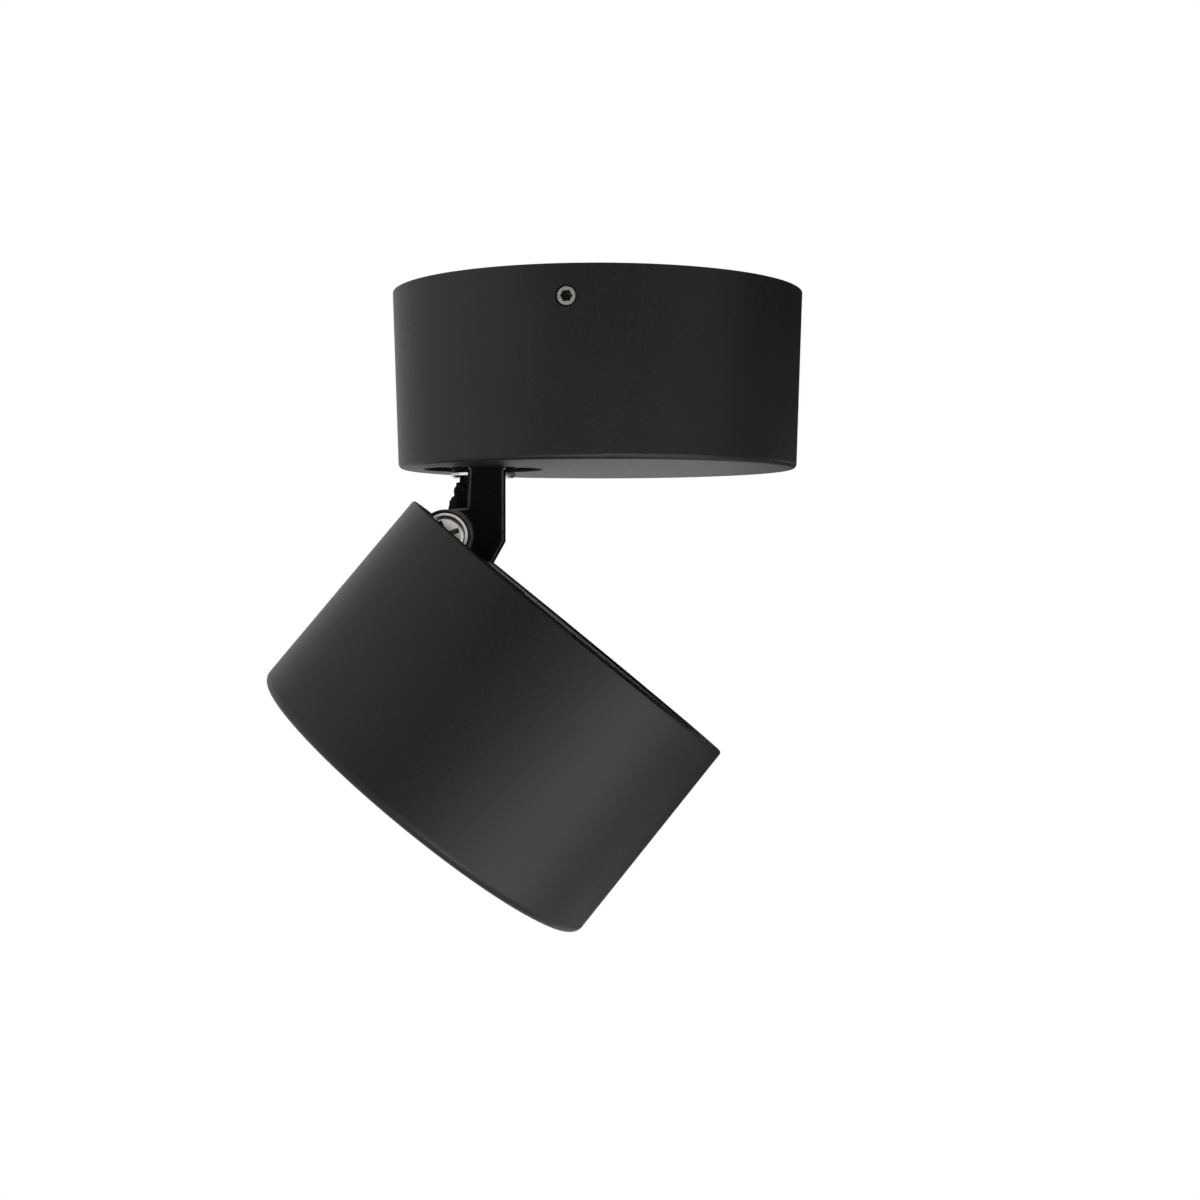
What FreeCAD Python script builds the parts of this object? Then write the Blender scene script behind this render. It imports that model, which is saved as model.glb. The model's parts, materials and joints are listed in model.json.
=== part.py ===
"""Surface mounted ceiling spotlight: a round canopy with its driver, a swivelling arm and a tilting LED head.

Millimetres, +Z up. The origin is the centre of the ceiling plane, +X points to the side away from the hinge.
The head is drawn closed, coaxial under the canopy, and is then turned about its hinge pin to the shown tilt.
"""
import FreeCAD, Part
import math
import os

V = FreeCAD.Vector
DOWN = V(0, 0, -1)
UP = V(0, 0, 1)

# Canopy
canopy_rim_radius = 42.0
canopy_base_radius = 40.9
canopy_height = 35.7
canopy_wall = 1.8
canopy_floor = 2.5
canopy_edge_round = 1.0
swivel_recess_radius = 12.3
swivel_recess_depth = 0.8

# Ceiling plate and its fastening
plate_margin = 1.6
plate_thickness = 1.5
plate_slot_spacing = 50.0
plate_slot_length = 12.0
plate_slot_width = 4.6
plate_window = (14.0, 15.0)
plate_window_centre = (-12.5, -21.5)
lug_width = 12.0
lug_thickness = 1.5
lug_height = 10.0
set_screw_azimuth = 259.6
set_screw_drop = 5.9
set_screw_diameter = 4.0
set_screw_length = 6.0
set_screw_sink = 0.25
set_screw_chamfer = 0.3
set_screw_socket = 2.0
set_screw_socket_depth = 2.2
set_boss_radius = 4.0
set_boss_setback = 0.6
set_hole_start = 3.0

# Cable entry
grommet_centre = (-9.0, 13.0)
grommet_bore_radius = 3.5
grommet_body_radius = 8.0
grommet_flange_radius = 9.6
grommet_flange_thickness = 1.5
grommet_nose_radius = 5.5
grommet_nose_length = 3.0
grommet_nose_taper = 1.0

# Mains terminal block and earth
terminal_centre = (14.0, 18.0)
terminal_poles = 3
terminal_pitch = 5.6
terminal_width = 12.0
terminal_height = 10.0
terminal_end = 3.4
terminal_wire_radius = 1.5
terminal_screw_radius = 1.3
terminal_screw_length = 3.0
terminal_wire_drop = 7.0
terminal_screw_sink = 0.5
terminal_slot_width = 0.5
terminal_slot_depth = 0.8
terminal_fixing_radius = 1.05
terminal_fixing_head_height = 1.26
earth_screw_inset = 9.6
earth_screw_y = 9.0
earth_screw_radius = 2.0
earth_screw_length = 6.0
earth_tag_radius = 4.2
earth_tag_thickness = 0.8
earth_tongue_width = 2.8
earth_tongue_length = 2.0
earth_barrel_start = 1.0
earth_barrel_length = 4.0
earth_barrel_wall = 0.7
earth_barrel_drop = 0.6
earth_wire_grip = 2.0
earth_cut_width = 6.0

# Driver
driver_centre = (12.0, 0.0)
driver_size = (32.0, 48.0, 20.0)
driver_wall = 1.5
driver_ear_length = 7.5
driver_ear_width = 8.0
driver_ear_thickness = 2.0
driver_boss_radius = 3.5
driver_boss_height = 3.0
driver_screw_radius = 1.5
driver_screw_length = 6.5
driver_corner_round = 1.5
driver_wire_height = 12.0
board_post_radius = 3.0
board_post_inset = 6.0
board_thickness = 1.6
board_height = 4.0
transformer_size = (14.0, 13.0, 10.0)
capacitor_radius = 4.0
capacitor_length = 9.0
capacitor_offset = 16.0
inductor_offset = 12.0
inductor_radius = 5.0
inductor_height = 6.0

# Swivel
swivel_from_pivot = 7.4
tube_radius = 4.0
tube_bore_radius = 2.4
tube_flange_radius = 6.6
tube_flange_thickness = 1.34
tube_flange_chamfer = 0.4
tube_top_clear = 1.5
foot_radius = 6.4
foot_thickness = 1.2
bush_wall = 1.2
bush_flange_radius = 8.0
bush_flange_thickness = 1.0
stop_washer_radius = 8.0
stop_washer_thickness = 1.2
stop_tab_reach = 11.4
stop_tab_width = 2.0
stop_pin_radius = 1.2
stop_pin_circle = 10.4
stop_pin_share = 0.6
spring_washer_radius = 7.0
spring_washer_thickness = 0.8
spring_washer_rise = 0.6
swivel_nut_flats = 13.0
swivel_nut_thickness = 4.0

# Arm and hinge pin
pivot_from_rim = 9.95
pivot_drop = 13.75
tilt_deg = 39.37
leg_left_reach = 2.8
leg_right_reach = 4.65
leg_near = -9.4
leg_thickness = 2.6
leg_notch_from_pivot = (4.1, 5.55)
leg_corner_fall = 1.18
leg_toe_from_pivot = (9.55, -5.69)
leg_chamfer = 0.45
knuckle_radius = 5.25
knuckle_proud = 0.6
pin_radius = 2.0
pin_head_radius = 4.0
pin_head_height = 2.4
pin_head_round = 0.8
pin_recess_width = 1.0
pin_recess_length = 6.0
pin_recess_depth = 1.5
pin_recess_turn = 20.0
pin_washer_radius = 4.5
pin_washer_thickness = 0.8
friction_washer_radius = 4.8
friction_washer_thickness = 0.5
lock_nut_flats = 7.0
lock_nut_thickness = 2.4
pin_end_proud = 0.5

# Head
head_back_radius = 40.95
head_front_radius = 41.5
head_depth = 47.6
head_wall = 2.4
head_back_wall = 2.5
head_front_round = 1.9
head_back_round = 0.6
head_rim_width = 1.6
head_rim_height = 0.5
pivot_below_back = 1.4
slot_left = 6.6
slot_right = 19.8
slot_near = -14.6
slot_far = 7.6
slot_corner_round = 1.5
post_inset = 5.0
post_radius = 3.2
post_angles = (30.0, 150.0, 270.0)

# Hinge bracket inside the head
ear_radius = 4.9
ear_thickness = 2.5
web_depth = 12.0
web_reach = 28.0
web_shoulder = 8.82
bracket_foot_start = 22.0
bracket_foot_length = 24.0
bracket_foot_far = 6.0
bracket_foot_thickness = 2.5
bracket_screw_reach = (33.0, 41.5)
bracket_screw_radius = 1.5
bracket_screw_head_radius = 2.8

# Light engine, by depth below the head's back face
spreader_top = 14.0
spreader_thickness = 5.0
spreader_margin = 0.55
spreader_fin_height = 7.0
spreader_fin_thickness = 1.8
spreader_fin_pitch = 5.0
spreader_fin_start = 17.5
spreader_screw_radius = 1.5
spreader_screw_length = 9.0
post_room = 1.0
wire_hole_centre = (0.0, 11.0)
wire_hole_radius = 2.4
wire_pair_offset = (1.4, 1.9)
pad_radius = 14.0
pad_thickness = 0.5
led_board_thickness = 1.6
led_radius = 7.0
led_thickness = 0.9
holder_radius = 22.0
holder_thickness = 3.0
holder_opening_radius = 8.5
holder_screw_circle = 18.0
holder_screw_radius = 1.25
holder_screw_share = 0.7
reflector_inner_radius = 8.2
reflector_outer_radius = 27.0
reflector_wall = 1.0
reflector_lip = 1.5
lens_depth = 35.0
lens_radius = 30.0
lens_thickness = 2.0
lens_chamfer = 0.3
gasket_width = 1.6
gasket_thickness = 1.0
baffle_top_radius = 27.6
baffle_lip = 2.9
baffle_wall = 1.5
baffle_setback = 1.2
baffle_fit = 0.1
baffle_skirt = 10.0

# Leads
wire_diameter = 1.6
lamp_lead_diameter = 3.2
sleeve_diameter = 5.6
sleeve_shift = 1.0
sleeve_drop = 2.0
sleeve_y = 3.6
sleeve_end_reach = 18.5
sleeve_end_depth = 8.0
sleeve_route = ((4.0, 1.4, 7.45), (2.1, 3.4, 2.45))
sleeve_route_in_head = ((4.6, -1.8), (9.0, -6.6))
lead_grip = 3.0
earth_route = ((0.0, 2.0, 0.0), (3.0, 4.2, 1.0), (6.6, 1.0, 2.4))
earth_route_straight = 5.0
mains_route = ((2.5, 0.0), (6.5, -2.6))
mains_route_low = ((6.5, 2.4), (2.5, 0.0))
driver_lead_height = 6.0
driver_lead_route = ((6.0, 0.0), (3.7, 4.5), (0.0, 1.0))
head_wire_route = (7.0, 1.5, 2.5)
head_wire_depths = (9.4, 13.5)
clamp_wall = 1.8
clamp_length = 4.5
clamp_tab_length = 7.0
clamp_tab_height = 5.0
clamp_tab_thickness = 2.0
clamp_screw_radius = 1.25
clamp_screw_inset = 2.0
clamp_lap = 1.0

# Clearances
slide_gap = 0.05
running_gap = 0.05
fit_gap = 0.1
seat_gap = 0.3
screw_gap = 0.05
cut_over = 1.0
touch = 0.01

# Shares that screws and leads have in common
recess_width_share = 0.3
flat_recess_length_share = 1.3
flat_recess_depth_share = 0.5
pan_recess_length_share = 1.2
pan_recess_depth_share = 0.6
pan_round_share = 0.45
thread_share = 0.8
arc_share = 0.45

# Worked out from the sizes above
canopy_bottom = -canopy_height
floor_top = canopy_bottom + canopy_floor
recess_top = canopy_bottom + swivel_recess_depth
pivot_x = pivot_from_rim - head_back_radius
pivot_z = canopy_bottom - pivot_drop
swivel_x = pivot_x + swivel_from_pivot
plate_radius = canopy_rim_radius - canopy_wall - plate_margin
earth_screw_centre = (plate_radius - earth_screw_inset, earth_screw_y)
leg_left = swivel_x - leg_left_reach
leg_right = swivel_x + leg_right_reach
leg_corner_z = pivot_z - leg_corner_fall
head_flare = (head_front_radius - head_back_radius) / head_depth
spreader_front = spreader_top + spreader_thickness
spreader_radius = head_back_radius + min(0, head_flare * spreader_front) - head_wall - spreader_margin
post_circle = spreader_radius - post_inset
baffle_front_radius = head_front_radius - head_wall - baffle_lip
foot_top = recess_top - slide_gap
foot_bottom = foot_top - foot_thickness
flange_bottom = foot_bottom - tube_flange_thickness
knuckle_near = leg_near - knuckle_proud
leg_far = leg_near + leg_thickness
washer_near = knuckle_near - pin_washer_thickness
ear_near = leg_far + friction_washer_thickness
ear_far = ear_near + ear_thickness
nut_far = ear_far + lock_nut_thickness
back_z = pivot_z + pivot_below_back
pivot = V(pivot_x, 0, pivot_z)
back_inner = back_z - head_back_wall
led_board_top = spreader_front + pad_thickness
holder_top = led_board_top + led_board_thickness


def depth(value):
    """Height of a point this far in front of the closed head's back face."""
    return back_z - value


def cylinder(radius, start, end):
    """A cylinder between two points."""
    line = end - start
    return Part.makeCylinder(radius, line.Length, start, line)


def block(x0, x1, y0, y1, z0, z1):
    """A box between two corners."""
    return Part.makeBox(x1 - x0, y1 - y0, z1 - z0, V(x0, y0, z0))


def turned(profile, centre=(0.0, 0.0)):
    """A solid turned about a vertical axis from points of radius and height."""
    points = [V(radius, 0, height) for radius, height in profile]
    face = Part.Face(Part.makePolygon(points + points[:1]))
    solid = face.revolve(V(0, 0, 0), UP, 360)
    solid.translate(V(centre[0], centre[1], 0))
    return solid


def prism(points, along):
    """A solid pushed from a closed polygon."""
    return Part.Face(Part.makePolygon(points + points[:1])).extrude(along)


def hexagon(flats, start, end):
    """A hexagonal bar between two points, with two corners level."""
    line = end - start
    side = V(0, 0, 1).cross(line) if abs(line.z) < 0.9 * line.Length else V(1, 0, 0)
    side.normalize()
    other = V(line).normalize().cross(side)
    corner = flats / math.sqrt(3)
    points = []
    for index in range(6):
        angle = math.radians(60 * index)
        points.append(start + side * (corner * math.cos(angle)) + other * (corner * math.sin(angle)))
    return prism(points, line)


def polar(radius, degrees, height):
    """A point at a radius and azimuth about the canopy's axis."""
    angle = math.radians(degrees)
    return V(radius * math.cos(angle), radius * math.sin(angle), height)


def edges_where(shape, test):
    """The edges whose two ends both pass a test."""
    return [edge for edge in shape.Edges if all(test(vertex.Point) for vertex in edge.Vertexes)]


def flat_screw(radius, head_radius, length, top, direction):
    """A countersunk screw with a cross recess, its head flush with a point."""
    cone = Part.makeCone(head_radius, radius, head_radius - radius, top, direction)
    shank = Part.makeCylinder(radius, length, top, direction)
    shares = (recess_width_share, flat_recess_length_share, flat_recess_depth_share)
    return cross_recess(cone.fuse(shank), top, direction, *[share * head_radius for share in shares])


def pan_screw(radius, head_radius, head_height, length, seat, direction):
    """A pan head screw with a cross recess, its head standing on a seat."""
    head_top = seat - direction * head_height
    head = Part.makeCylinder(head_radius, head_height, head_top, direction)
    rim = [edge for edge in head.Edges if (edge.CenterOfMass - head_top).Length < touch]
    head = head.makeFillet(pan_round_share * head_height, rim)
    shank = Part.makeCylinder(radius, length, seat, direction)
    width = recess_width_share * head_radius
    length = pan_recess_length_share * head_radius
    return cross_recess(head.fuse(shank), head_top, direction, width, length, pan_recess_depth_share * head_height)


def cross_recess(screw, top, direction, width, length, sink):
    """Cut a cross for the driver into the top of a screw."""
    axis = V(direction).normalize()
    side = V(1, 0, 0) if abs(axis.x) < 0.5 else V(0, 1, 0)
    other = axis.cross(side)
    for along, across in ((side, other), (other, side)):
        corners = []
        for a, b in ((-1, -1), (1, -1), (1, 1), (-1, 1)):
            corners.append(top + along * (a * length / 2) + across * (b * width / 2) - axis * touch)
        screw = screw.cut(prism(corners, axis * sink))
    return screw.removeSplitter()


def lead(name, points, diameter):
    """A round lead whose straight runs are joined by tangent arcs as large as the runs allow."""
    edges = []
    start = points[0]
    radii = []
    for before, corner, after in zip(points, points[1:], points[2:]):
        into = (corner - before).normalize()
        out = (after - corner).normalize()
        run = min((corner - before).Length, (after - corner).Length)
        half = into.getAngle(out) / 2
        cut = arc_share * run
        radius = cut / math.tan(half)
        radii.append(round(radius, 1))
        first = corner - into * cut
        last = corner + out * cut
        middle = corner + (out - into).normalize() * (radius * (1 / math.cos(half) - 1))
        edges.append(Part.LineSegment(start, first).toShape())
        edges.append(Part.Arc(first, middle, last).toShape())
        start = last
    edges.append(Part.LineSegment(start, points[-1]).toShape())
    path = Part.Wire(edges)
    ring = Part.Wire(Part.Circle(points[0], points[1] - points[0], diameter / 2).toShape())
    tube = path.makePipeShell([ring], True, True)
    expected = math.pi * diameter ** 2 / 4 * path.Length
    print(name, "radii", radii, "length", round(path.Length, 1), "volume share", round(tube.Volume / expected, 4))
    return tube


def tilted(shape):
    """The shape turned with the head about the hinge pin."""
    copy = shape.copy()
    copy.rotate(pivot, V(0, 1, 0), tilt_deg)
    return copy


def tilted_point(point):
    """A point turned with the head about the hinge pin."""
    rotation = FreeCAD.Rotation(V(0, 1, 0), tilt_deg)
    return pivot + rotation.multVec(point - pivot)


def canopy_inner_radius(height):
    """The canopy's inner wall radius at a height."""
    share = -height / canopy_height
    return canopy_rim_radius + (canopy_base_radius - canopy_rim_radius) * share - canopy_wall


def set_screw_points(azimuth):
    """The outer end, the tip and the inward direction of a set screw."""
    outside = canopy_inner_radius(-set_screw_drop) + canopy_wall - set_screw_sink
    outer = polar(outside, azimuth, -set_screw_drop)
    tip = polar(outside - set_screw_length, azimuth, -set_screw_drop)
    return outer, tip, (tip - outer).normalize()


def canopy_housing():
    """The round cup that covers the ceiling plate, with bosses for its screws."""
    inner_floor = canopy_inner_radius(floor_top)
    profile = [(0, canopy_bottom), (canopy_base_radius, canopy_bottom), (canopy_rim_radius, 0)]
    profile += [(canopy_rim_radius - canopy_wall, 0), (inner_floor, floor_top), (0, floor_top)]
    cup = turned(profile)
    base_edge = edges_where(cup, lambda p: abs(p.z - canopy_bottom) < touch and p.Length > canopy_base_radius)
    cup = cup.makeFillet(canopy_edge_round, base_edge)
    for azimuth in (set_screw_azimuth, set_screw_azimuth - 180):
        outer, tip, inward = set_screw_points(azimuth)
        boss_end = tip - inward * set_boss_setback
        boss_start = polar(canopy_inner_radius(-set_screw_drop) + canopy_wall / 2, azimuth, -set_screw_drop)
        cup = cup.fuse(cylinder(set_boss_radius, boss_start, boss_end))
        cup = cup.cut(cylinder(set_screw_diameter / 2 + screw_gap, outer - inward * set_hole_start, tip))
    for x, y in driver_ear_centres():
        boss = Part.makeCylinder(driver_boss_radius, driver_boss_height, V(x, y, floor_top))
        hole_depth = driver_screw_length - driver_ear_thickness + fit_gap
        hole_top = V(x, y, floor_top + driver_boss_height)
        hole = Part.makeCylinder(driver_screw_radius + screw_gap, hole_depth, hole_top, DOWN)
        cup = cup.fuse(boss).cut(hole)
    centre = V(swivel_x, 0, canopy_bottom)
    cup = cup.cut(Part.makeCylinder(swivel_recess_radius, swivel_recess_depth, centre))
    bush_hole = tube_radius + running_gap + bush_wall + screw_gap
    cup = cup.cut(Part.makeCylinder(bush_hole, canopy_floor, centre))
    pin_hole = Part.makeCylinder(stop_pin_radius + screw_gap, stop_pin_depth(), stop_pin_foot())
    return cup.cut(pin_hole).removeSplitter()


def stop_pin_depth():
    """How deep the stop pin sits in the canopy's floor."""
    return stop_pin_share * (canopy_floor - swivel_recess_depth)


def stop_pin_foot():
    """The lower end of the stop pin."""
    return V(swivel_x + stop_pin_circle, 0, floor_top - stop_pin_depth())


def ceiling_plate():
    """The steel plate that is screwed to the ceiling, with slots, lugs and openings."""
    plate = Part.makeCylinder(plate_radius, plate_thickness, V(0, 0, -plate_thickness))
    half = (plate_slot_length - plate_slot_width) / 2
    for side in (-1, 1):
        x = side * plate_slot_spacing / 2
        radius = plate_slot_width / 2
        slot = block(x - half, x + half, -radius, radius, -plate_thickness, 0)
        for end in (x - half, x + half):
            slot = slot.fuse(Part.makeCylinder(radius, plate_thickness, V(end, 0, -plate_thickness)))
        plate = plate.cut(slot.removeSplitter())
    plate = plate.cut(Part.makeCylinder(grommet_body_radius, plate_thickness, V(*grommet_centre, -plate_thickness)))
    x, y = plate_window_centre
    wide, deep = plate_window
    plate = plate.cut(block(x - wide / 2, x + wide / 2, y - deep / 2, y + deep / 2, -plate_thickness, 0))
    for x, y, radius in plate_thread_holes():
        plate = plate.cut(Part.makeCylinder(radius, plate_thickness, V(x, y, -plate_thickness)))
    for azimuth in (set_screw_azimuth, set_screw_azimuth - 180):
        plate = plate.fuse(plate_lug(azimuth))
    return plate.removeSplitter()


def plate_thread_holes():
    """Place and radius of the threaded holes for the terminal block and the earth screw."""
    x, y = terminal_fixing_place()
    return ((x, y, terminal_fixing_radius + screw_gap), (*earth_screw_centre, earth_screw_radius + screw_gap))


def plate_lug(azimuth):
    """A lug bent down from the ceiling plate, whose outer face the set screw's tip meets."""
    outer, tip, inward = set_screw_points(azimuth)
    across = V(0, 0, 1).cross(inward)
    foot = V(tip.x, tip.y, -plate_thickness / 2)
    start = foot - across * (lug_width / 2)
    corners = [start, start + across * lug_width]
    corners += [corners[1] + inward * lug_thickness, start + inward * lug_thickness]
    return prism(corners, V(0, 0, plate_thickness / 2 - lug_height))


def canopy_set_screws():
    """Two hexagon socket set screws through the canopy's wall."""
    screws = []
    for azimuth in (set_screw_azimuth, set_screw_azimuth - 180):
        outer, tip, inward = set_screw_points(azimuth)
        screw = cylinder(set_screw_diameter / 2, outer, tip)
        screw = screw.makeChamfer(set_screw_chamfer, [edge for edge in screw.Edges if len(edge.Vertexes) == 1])
        socket = hexagon(set_screw_socket, outer - inward * touch, outer + inward * set_screw_socket_depth)
        screws.append(screw.cut(socket))
    return screws


def cable_grommet():
    """A rubber bush in the ceiling plate for the supply cable."""
    under = -plate_thickness
    flange = under - grommet_flange_thickness
    profile = [(grommet_bore_radius, 0), (grommet_body_radius - screw_gap, 0)]
    profile += [(grommet_body_radius - screw_gap, under), (grommet_flange_radius, under), (grommet_flange_radius, flange)]
    profile += [(grommet_nose_radius, flange), (grommet_nose_radius - grommet_nose_taper, flange - grommet_nose_length)]
    profile += [(grommet_bore_radius, flange - grommet_nose_length)]
    return turned(profile, grommet_centre)


def terminal_pole_x():
    """The x of each pole of the terminal block."""
    first = terminal_centre[0] - terminal_pitch * (terminal_poles - 1) / 2
    return [first + terminal_pitch * index for index in range(terminal_poles)]


def terminal_fixing_place():
    """Where the terminal block's fixing screw passes, between its first two poles."""
    return terminal_pole_x()[0] + terminal_pitch / 2, terminal_centre[1]


def terminal_screw_places():
    """The two clamp screws of each pole."""
    offset = terminal_width / 4
    return [(x, terminal_centre[1] + side * offset) for x in terminal_pole_x() for side in (-1, 1)]


def terminal_block():
    """The plastic terminal block under the ceiling plate, open where wires and screws go in."""
    poles = terminal_pole_x()
    top = -plate_thickness
    bottom = top - terminal_height
    near = terminal_centre[1] - terminal_width / 2
    far = near + terminal_width
    body = block(poles[0] - terminal_end, poles[-1] + terminal_end, near, far, bottom, top)
    for x in poles:
        body = body.cut(cylinder(terminal_wire_radius, V(x, near, -terminal_wire_drop), V(x, far, -terminal_wire_drop)))
    for x, y in terminal_screw_places():
        hole_top = V(x, y, -terminal_wire_drop)
        body = body.cut(cylinder(terminal_screw_radius + screw_gap, V(x, y, bottom), hole_top))
    x, y = terminal_fixing_place()
    body = body.cut(cylinder(terminal_fixing_radius + fit_gap, V(x, y, bottom), V(x, y, top)))
    return body


def terminal_screws():
    """The clamp screws of the terminal block, seen from below."""
    bottom = -plate_thickness - terminal_height
    seat = bottom + terminal_screw_sink
    half = terminal_slot_width / 2
    screws = []
    for x, y in terminal_screw_places():
        screw = Part.makeCylinder(terminal_screw_radius, terminal_screw_length, V(x, y, seat))
        left, right = x - terminal_screw_radius, x + terminal_screw_radius
        slot = block(left, right, y - half, y + half, seat, seat + terminal_slot_depth)
        screws.append(screw.cut(slot))
    return screws


def terminal_fixing_screw():
    """The screw that holds the terminal block up to the ceiling plate."""
    x, y = terminal_fixing_place()
    seat = V(x, y, -plate_thickness - terminal_height)
    length = terminal_height + thread_share * plate_thickness
    head = (2 * terminal_fixing_radius, terminal_fixing_head_height)
    return pan_screw(terminal_fixing_radius, *head, length, seat, UP)


def earth_screw():
    """The earth screw in the ceiling plate."""
    x, y = earth_screw_centre
    seat = -plate_thickness - earth_tag_thickness
    length = earth_tag_thickness + thread_share * plate_thickness
    return pan_screw(earth_screw_radius, 2 * earth_screw_radius, earth_screw_radius, length, V(x, y, seat), UP)


def earth_tag():
    """The ring tag under the earth screw, with its barrel for the wire."""
    x, y = earth_screw_centre
    under = -plate_thickness - earth_tag_thickness
    ring = Part.makeCylinder(earth_tag_radius, earth_tag_thickness, V(x, y, under))
    half = earth_tongue_width / 2
    tongue_end = y + earth_tag_radius + earth_tongue_length
    tongue = block(x - half, x + half, y, tongue_end, under, under + earth_tag_thickness)
    barrel_start = V(x, y + earth_tag_radius + earth_barrel_start, under - earth_barrel_drop)
    barrel_end = barrel_start + V(0, earth_barrel_length, 0)
    barrel = cylinder(wire_diameter / 2 + earth_barrel_wall, barrel_start, barrel_end)
    tag = ring.fuse(tongue).fuse(barrel)
    tag = tag.cut(cylinder(earth_screw_radius + screw_gap, V(x, y, under - cut_over), V(x, y, 0)))
    side = earth_cut_width / 2
    tag = tag.cut(block(x - side, x + side, y, barrel_end.y + cut_over, -plate_thickness, 0))
    wire_end = barrel_end - V(0, earth_wire_grip, 0)
    return tag.cut(cylinder(wire_diameter / 2, wire_end, barrel_end)).removeSplitter()


def earth_lead():
    """The earth wire from the third pole to the ring tag."""
    x, y = earth_screw_centre
    barrel_end = y + earth_tag_radius + earth_barrel_start + earth_barrel_length
    end = V(x, barrel_end - earth_wire_grip, -plate_thickness - earth_tag_thickness - earth_barrel_drop)
    start_y = terminal_centre[1] + terminal_width / 2
    pole = terminal_pole_x()[-1]
    mouth = V(pole, start_y, -terminal_wire_drop)
    points = [mouth - V(0, lead_grip, 0)] + [mouth + V(*offset) for offset in earth_route]
    points += [V(end.x, end.y + earth_route_straight, end.z), end]
    return lead("earth_lead", points, wire_diameter)


def mains_leads():
    """The two wires from the terminal block's far side down to the driver."""
    far = terminal_centre[1] + terminal_width / 2
    driver_end = driver_centre[1] + driver_size[1] / 2
    low = floor_top + driver_wire_height
    high = -terminal_wire_drop
    wires = []
    for x in terminal_pole_x()[:2]:
        points = [V(x, far - lead_grip, high)] + [V(x, far + y, high + z) for y, z in mains_route]
        points += [V(x, far + y, low + z) for y, z in mains_route_low] + [V(x, driver_end - driver_wall, low)]
        wires.append(lead("mains_lead", points, wire_diameter))
    return wires


def driver_ear_centres():
    """Where the driver's two screws pass through its ears."""
    reach = driver_size[1] / 2 + driver_ear_length / 2
    return [(driver_centre[0], driver_centre[1] + side * reach) for side in (-1, 1)]


def driver_box(inset, bottom, top):
    """A box of the driver's outline, drawn in by an inset."""
    x, y = driver_centre
    half_x = driver_size[0] / 2 - inset
    half_y = driver_size[1] / 2 - inset
    return block(x - half_x, x + half_x, y - half_y, y + half_y, bottom, top)


def driver_case():
    """The driver's tray with two screw ears and its wire holes."""
    lid_bottom = floor_top + driver_size[2] - driver_wall
    case = driver_box(0, floor_top, lid_bottom)
    vertical = [edge for edge in case.Edges if abs(edge.Vertexes[0].Z - edge.Vertexes[1].Z) > 1]
    case = case.makeFillet(driver_corner_round, vertical).cut(driver_box(driver_wall, floor_top + driver_wall, lid_bottom))
    for x, y in driver_ear_centres():
        bottom = floor_top + driver_boss_height
        half = driver_ear_width / 2
        inner = driver_size[1] / 2 - driver_wall / 2
        side = 1 if y > driver_centre[1] else -1
        low, high = sorted((driver_centre[1] + side * inner, y + side * driver_ear_length / 2))
        ear = block(x - half, x + half, low, high, bottom, bottom + driver_ear_thickness)
        hole = cylinder(driver_screw_radius + fit_gap, V(x, y, bottom), V(x, y, bottom + driver_ear_thickness))
        case = case.fuse(ear).cut(hole)
    for post in board_posts():
        case = case.fuse(post)
    low = floor_top + driver_wire_height
    far = driver_centre[1] + driver_size[1] / 2
    for x in terminal_pole_x()[:2]:
        case = case.cut(cylinder(wire_diameter / 2, V(x, far - driver_wall, low), V(x, far, low)))
    start = driver_lead_points()[0]
    return case.cut(cylinder(lamp_lead_diameter / 2, start, start - V(driver_wall, 0, 0))).removeSplitter()


def driver_lid():
    """The driver's lid, with a lip inside the tray."""
    top = floor_top + driver_size[2]
    plate = driver_box(0, top - driver_wall, top)
    lip = driver_box(driver_wall + fit_gap, top - 2 * driver_wall, top - driver_wall)
    lip = lip.cut(driver_box(2 * driver_wall + fit_gap, top - 2 * driver_wall, top - driver_wall))
    return plate.fuse(lip).removeSplitter()


def driver_board():
    """The driver's circuit board."""
    bottom = floor_top + board_height
    return driver_box(driver_wall + fit_gap, bottom, bottom + board_thickness)


def board_posts():
    """Two posts that carry the circuit board on the driver's floor."""
    x, y = driver_centre
    reach = driver_size[1] / 2 - board_post_inset
    height = board_height - driver_wall
    starts = [V(x, y + side * reach, floor_top + driver_wall) for side in (-1, 1)]
    return [Part.makeCylinder(board_post_radius, height, start) for start in starts]


def board_parts():
    """Transformer, capacitor and inductor on the circuit board."""
    x, y = driver_centre
    top = floor_top + board_height + board_thickness
    wide, deep, high = transformer_size
    transformer = block(x - wide / 2, x + wide / 2, y - deep / 2, y + deep / 2, top, top + high)
    start = V(x - capacitor_length / 2, y - capacitor_offset, top + capacitor_radius)
    capacitor = cylinder(capacitor_radius, start, start + V(capacitor_length, 0, 0))
    foot = V(x, y + inductor_offset, top)
    ring = Part.makeCylinder(inductor_radius, inductor_height, foot)
    inductor = ring.cut(Part.makeCylinder(inductor_radius / 2, inductor_height, foot))
    return transformer, capacitor, inductor


def driver_screws():
    """The two screws that hold the driver to the canopy's bosses."""
    screws = []
    for x, y in driver_ear_centres():
        seat = V(x, y, floor_top + driver_boss_height + driver_ear_thickness)
        radius = driver_screw_radius
        screws.append(pan_screw(radius, 2 * radius, radius, driver_screw_length, seat, DOWN))
    return screws


def stack_above_floor():
    """Heights of the swivel's washers and nut above the canopy's floor, from below."""
    bush_top = floor_top + bush_flange_thickness
    stop_bottom = bush_top + slide_gap
    stop_top = stop_bottom + stop_washer_thickness
    spring_top = stop_top + spring_washer_thickness + spring_washer_rise
    return bush_top, stop_bottom, stop_top, spring_top, spring_top + swivel_nut_thickness


def tube_top():
    """The upper end of the swivel tube."""
    return stack_above_floor()[-1] + tube_top_clear


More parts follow.
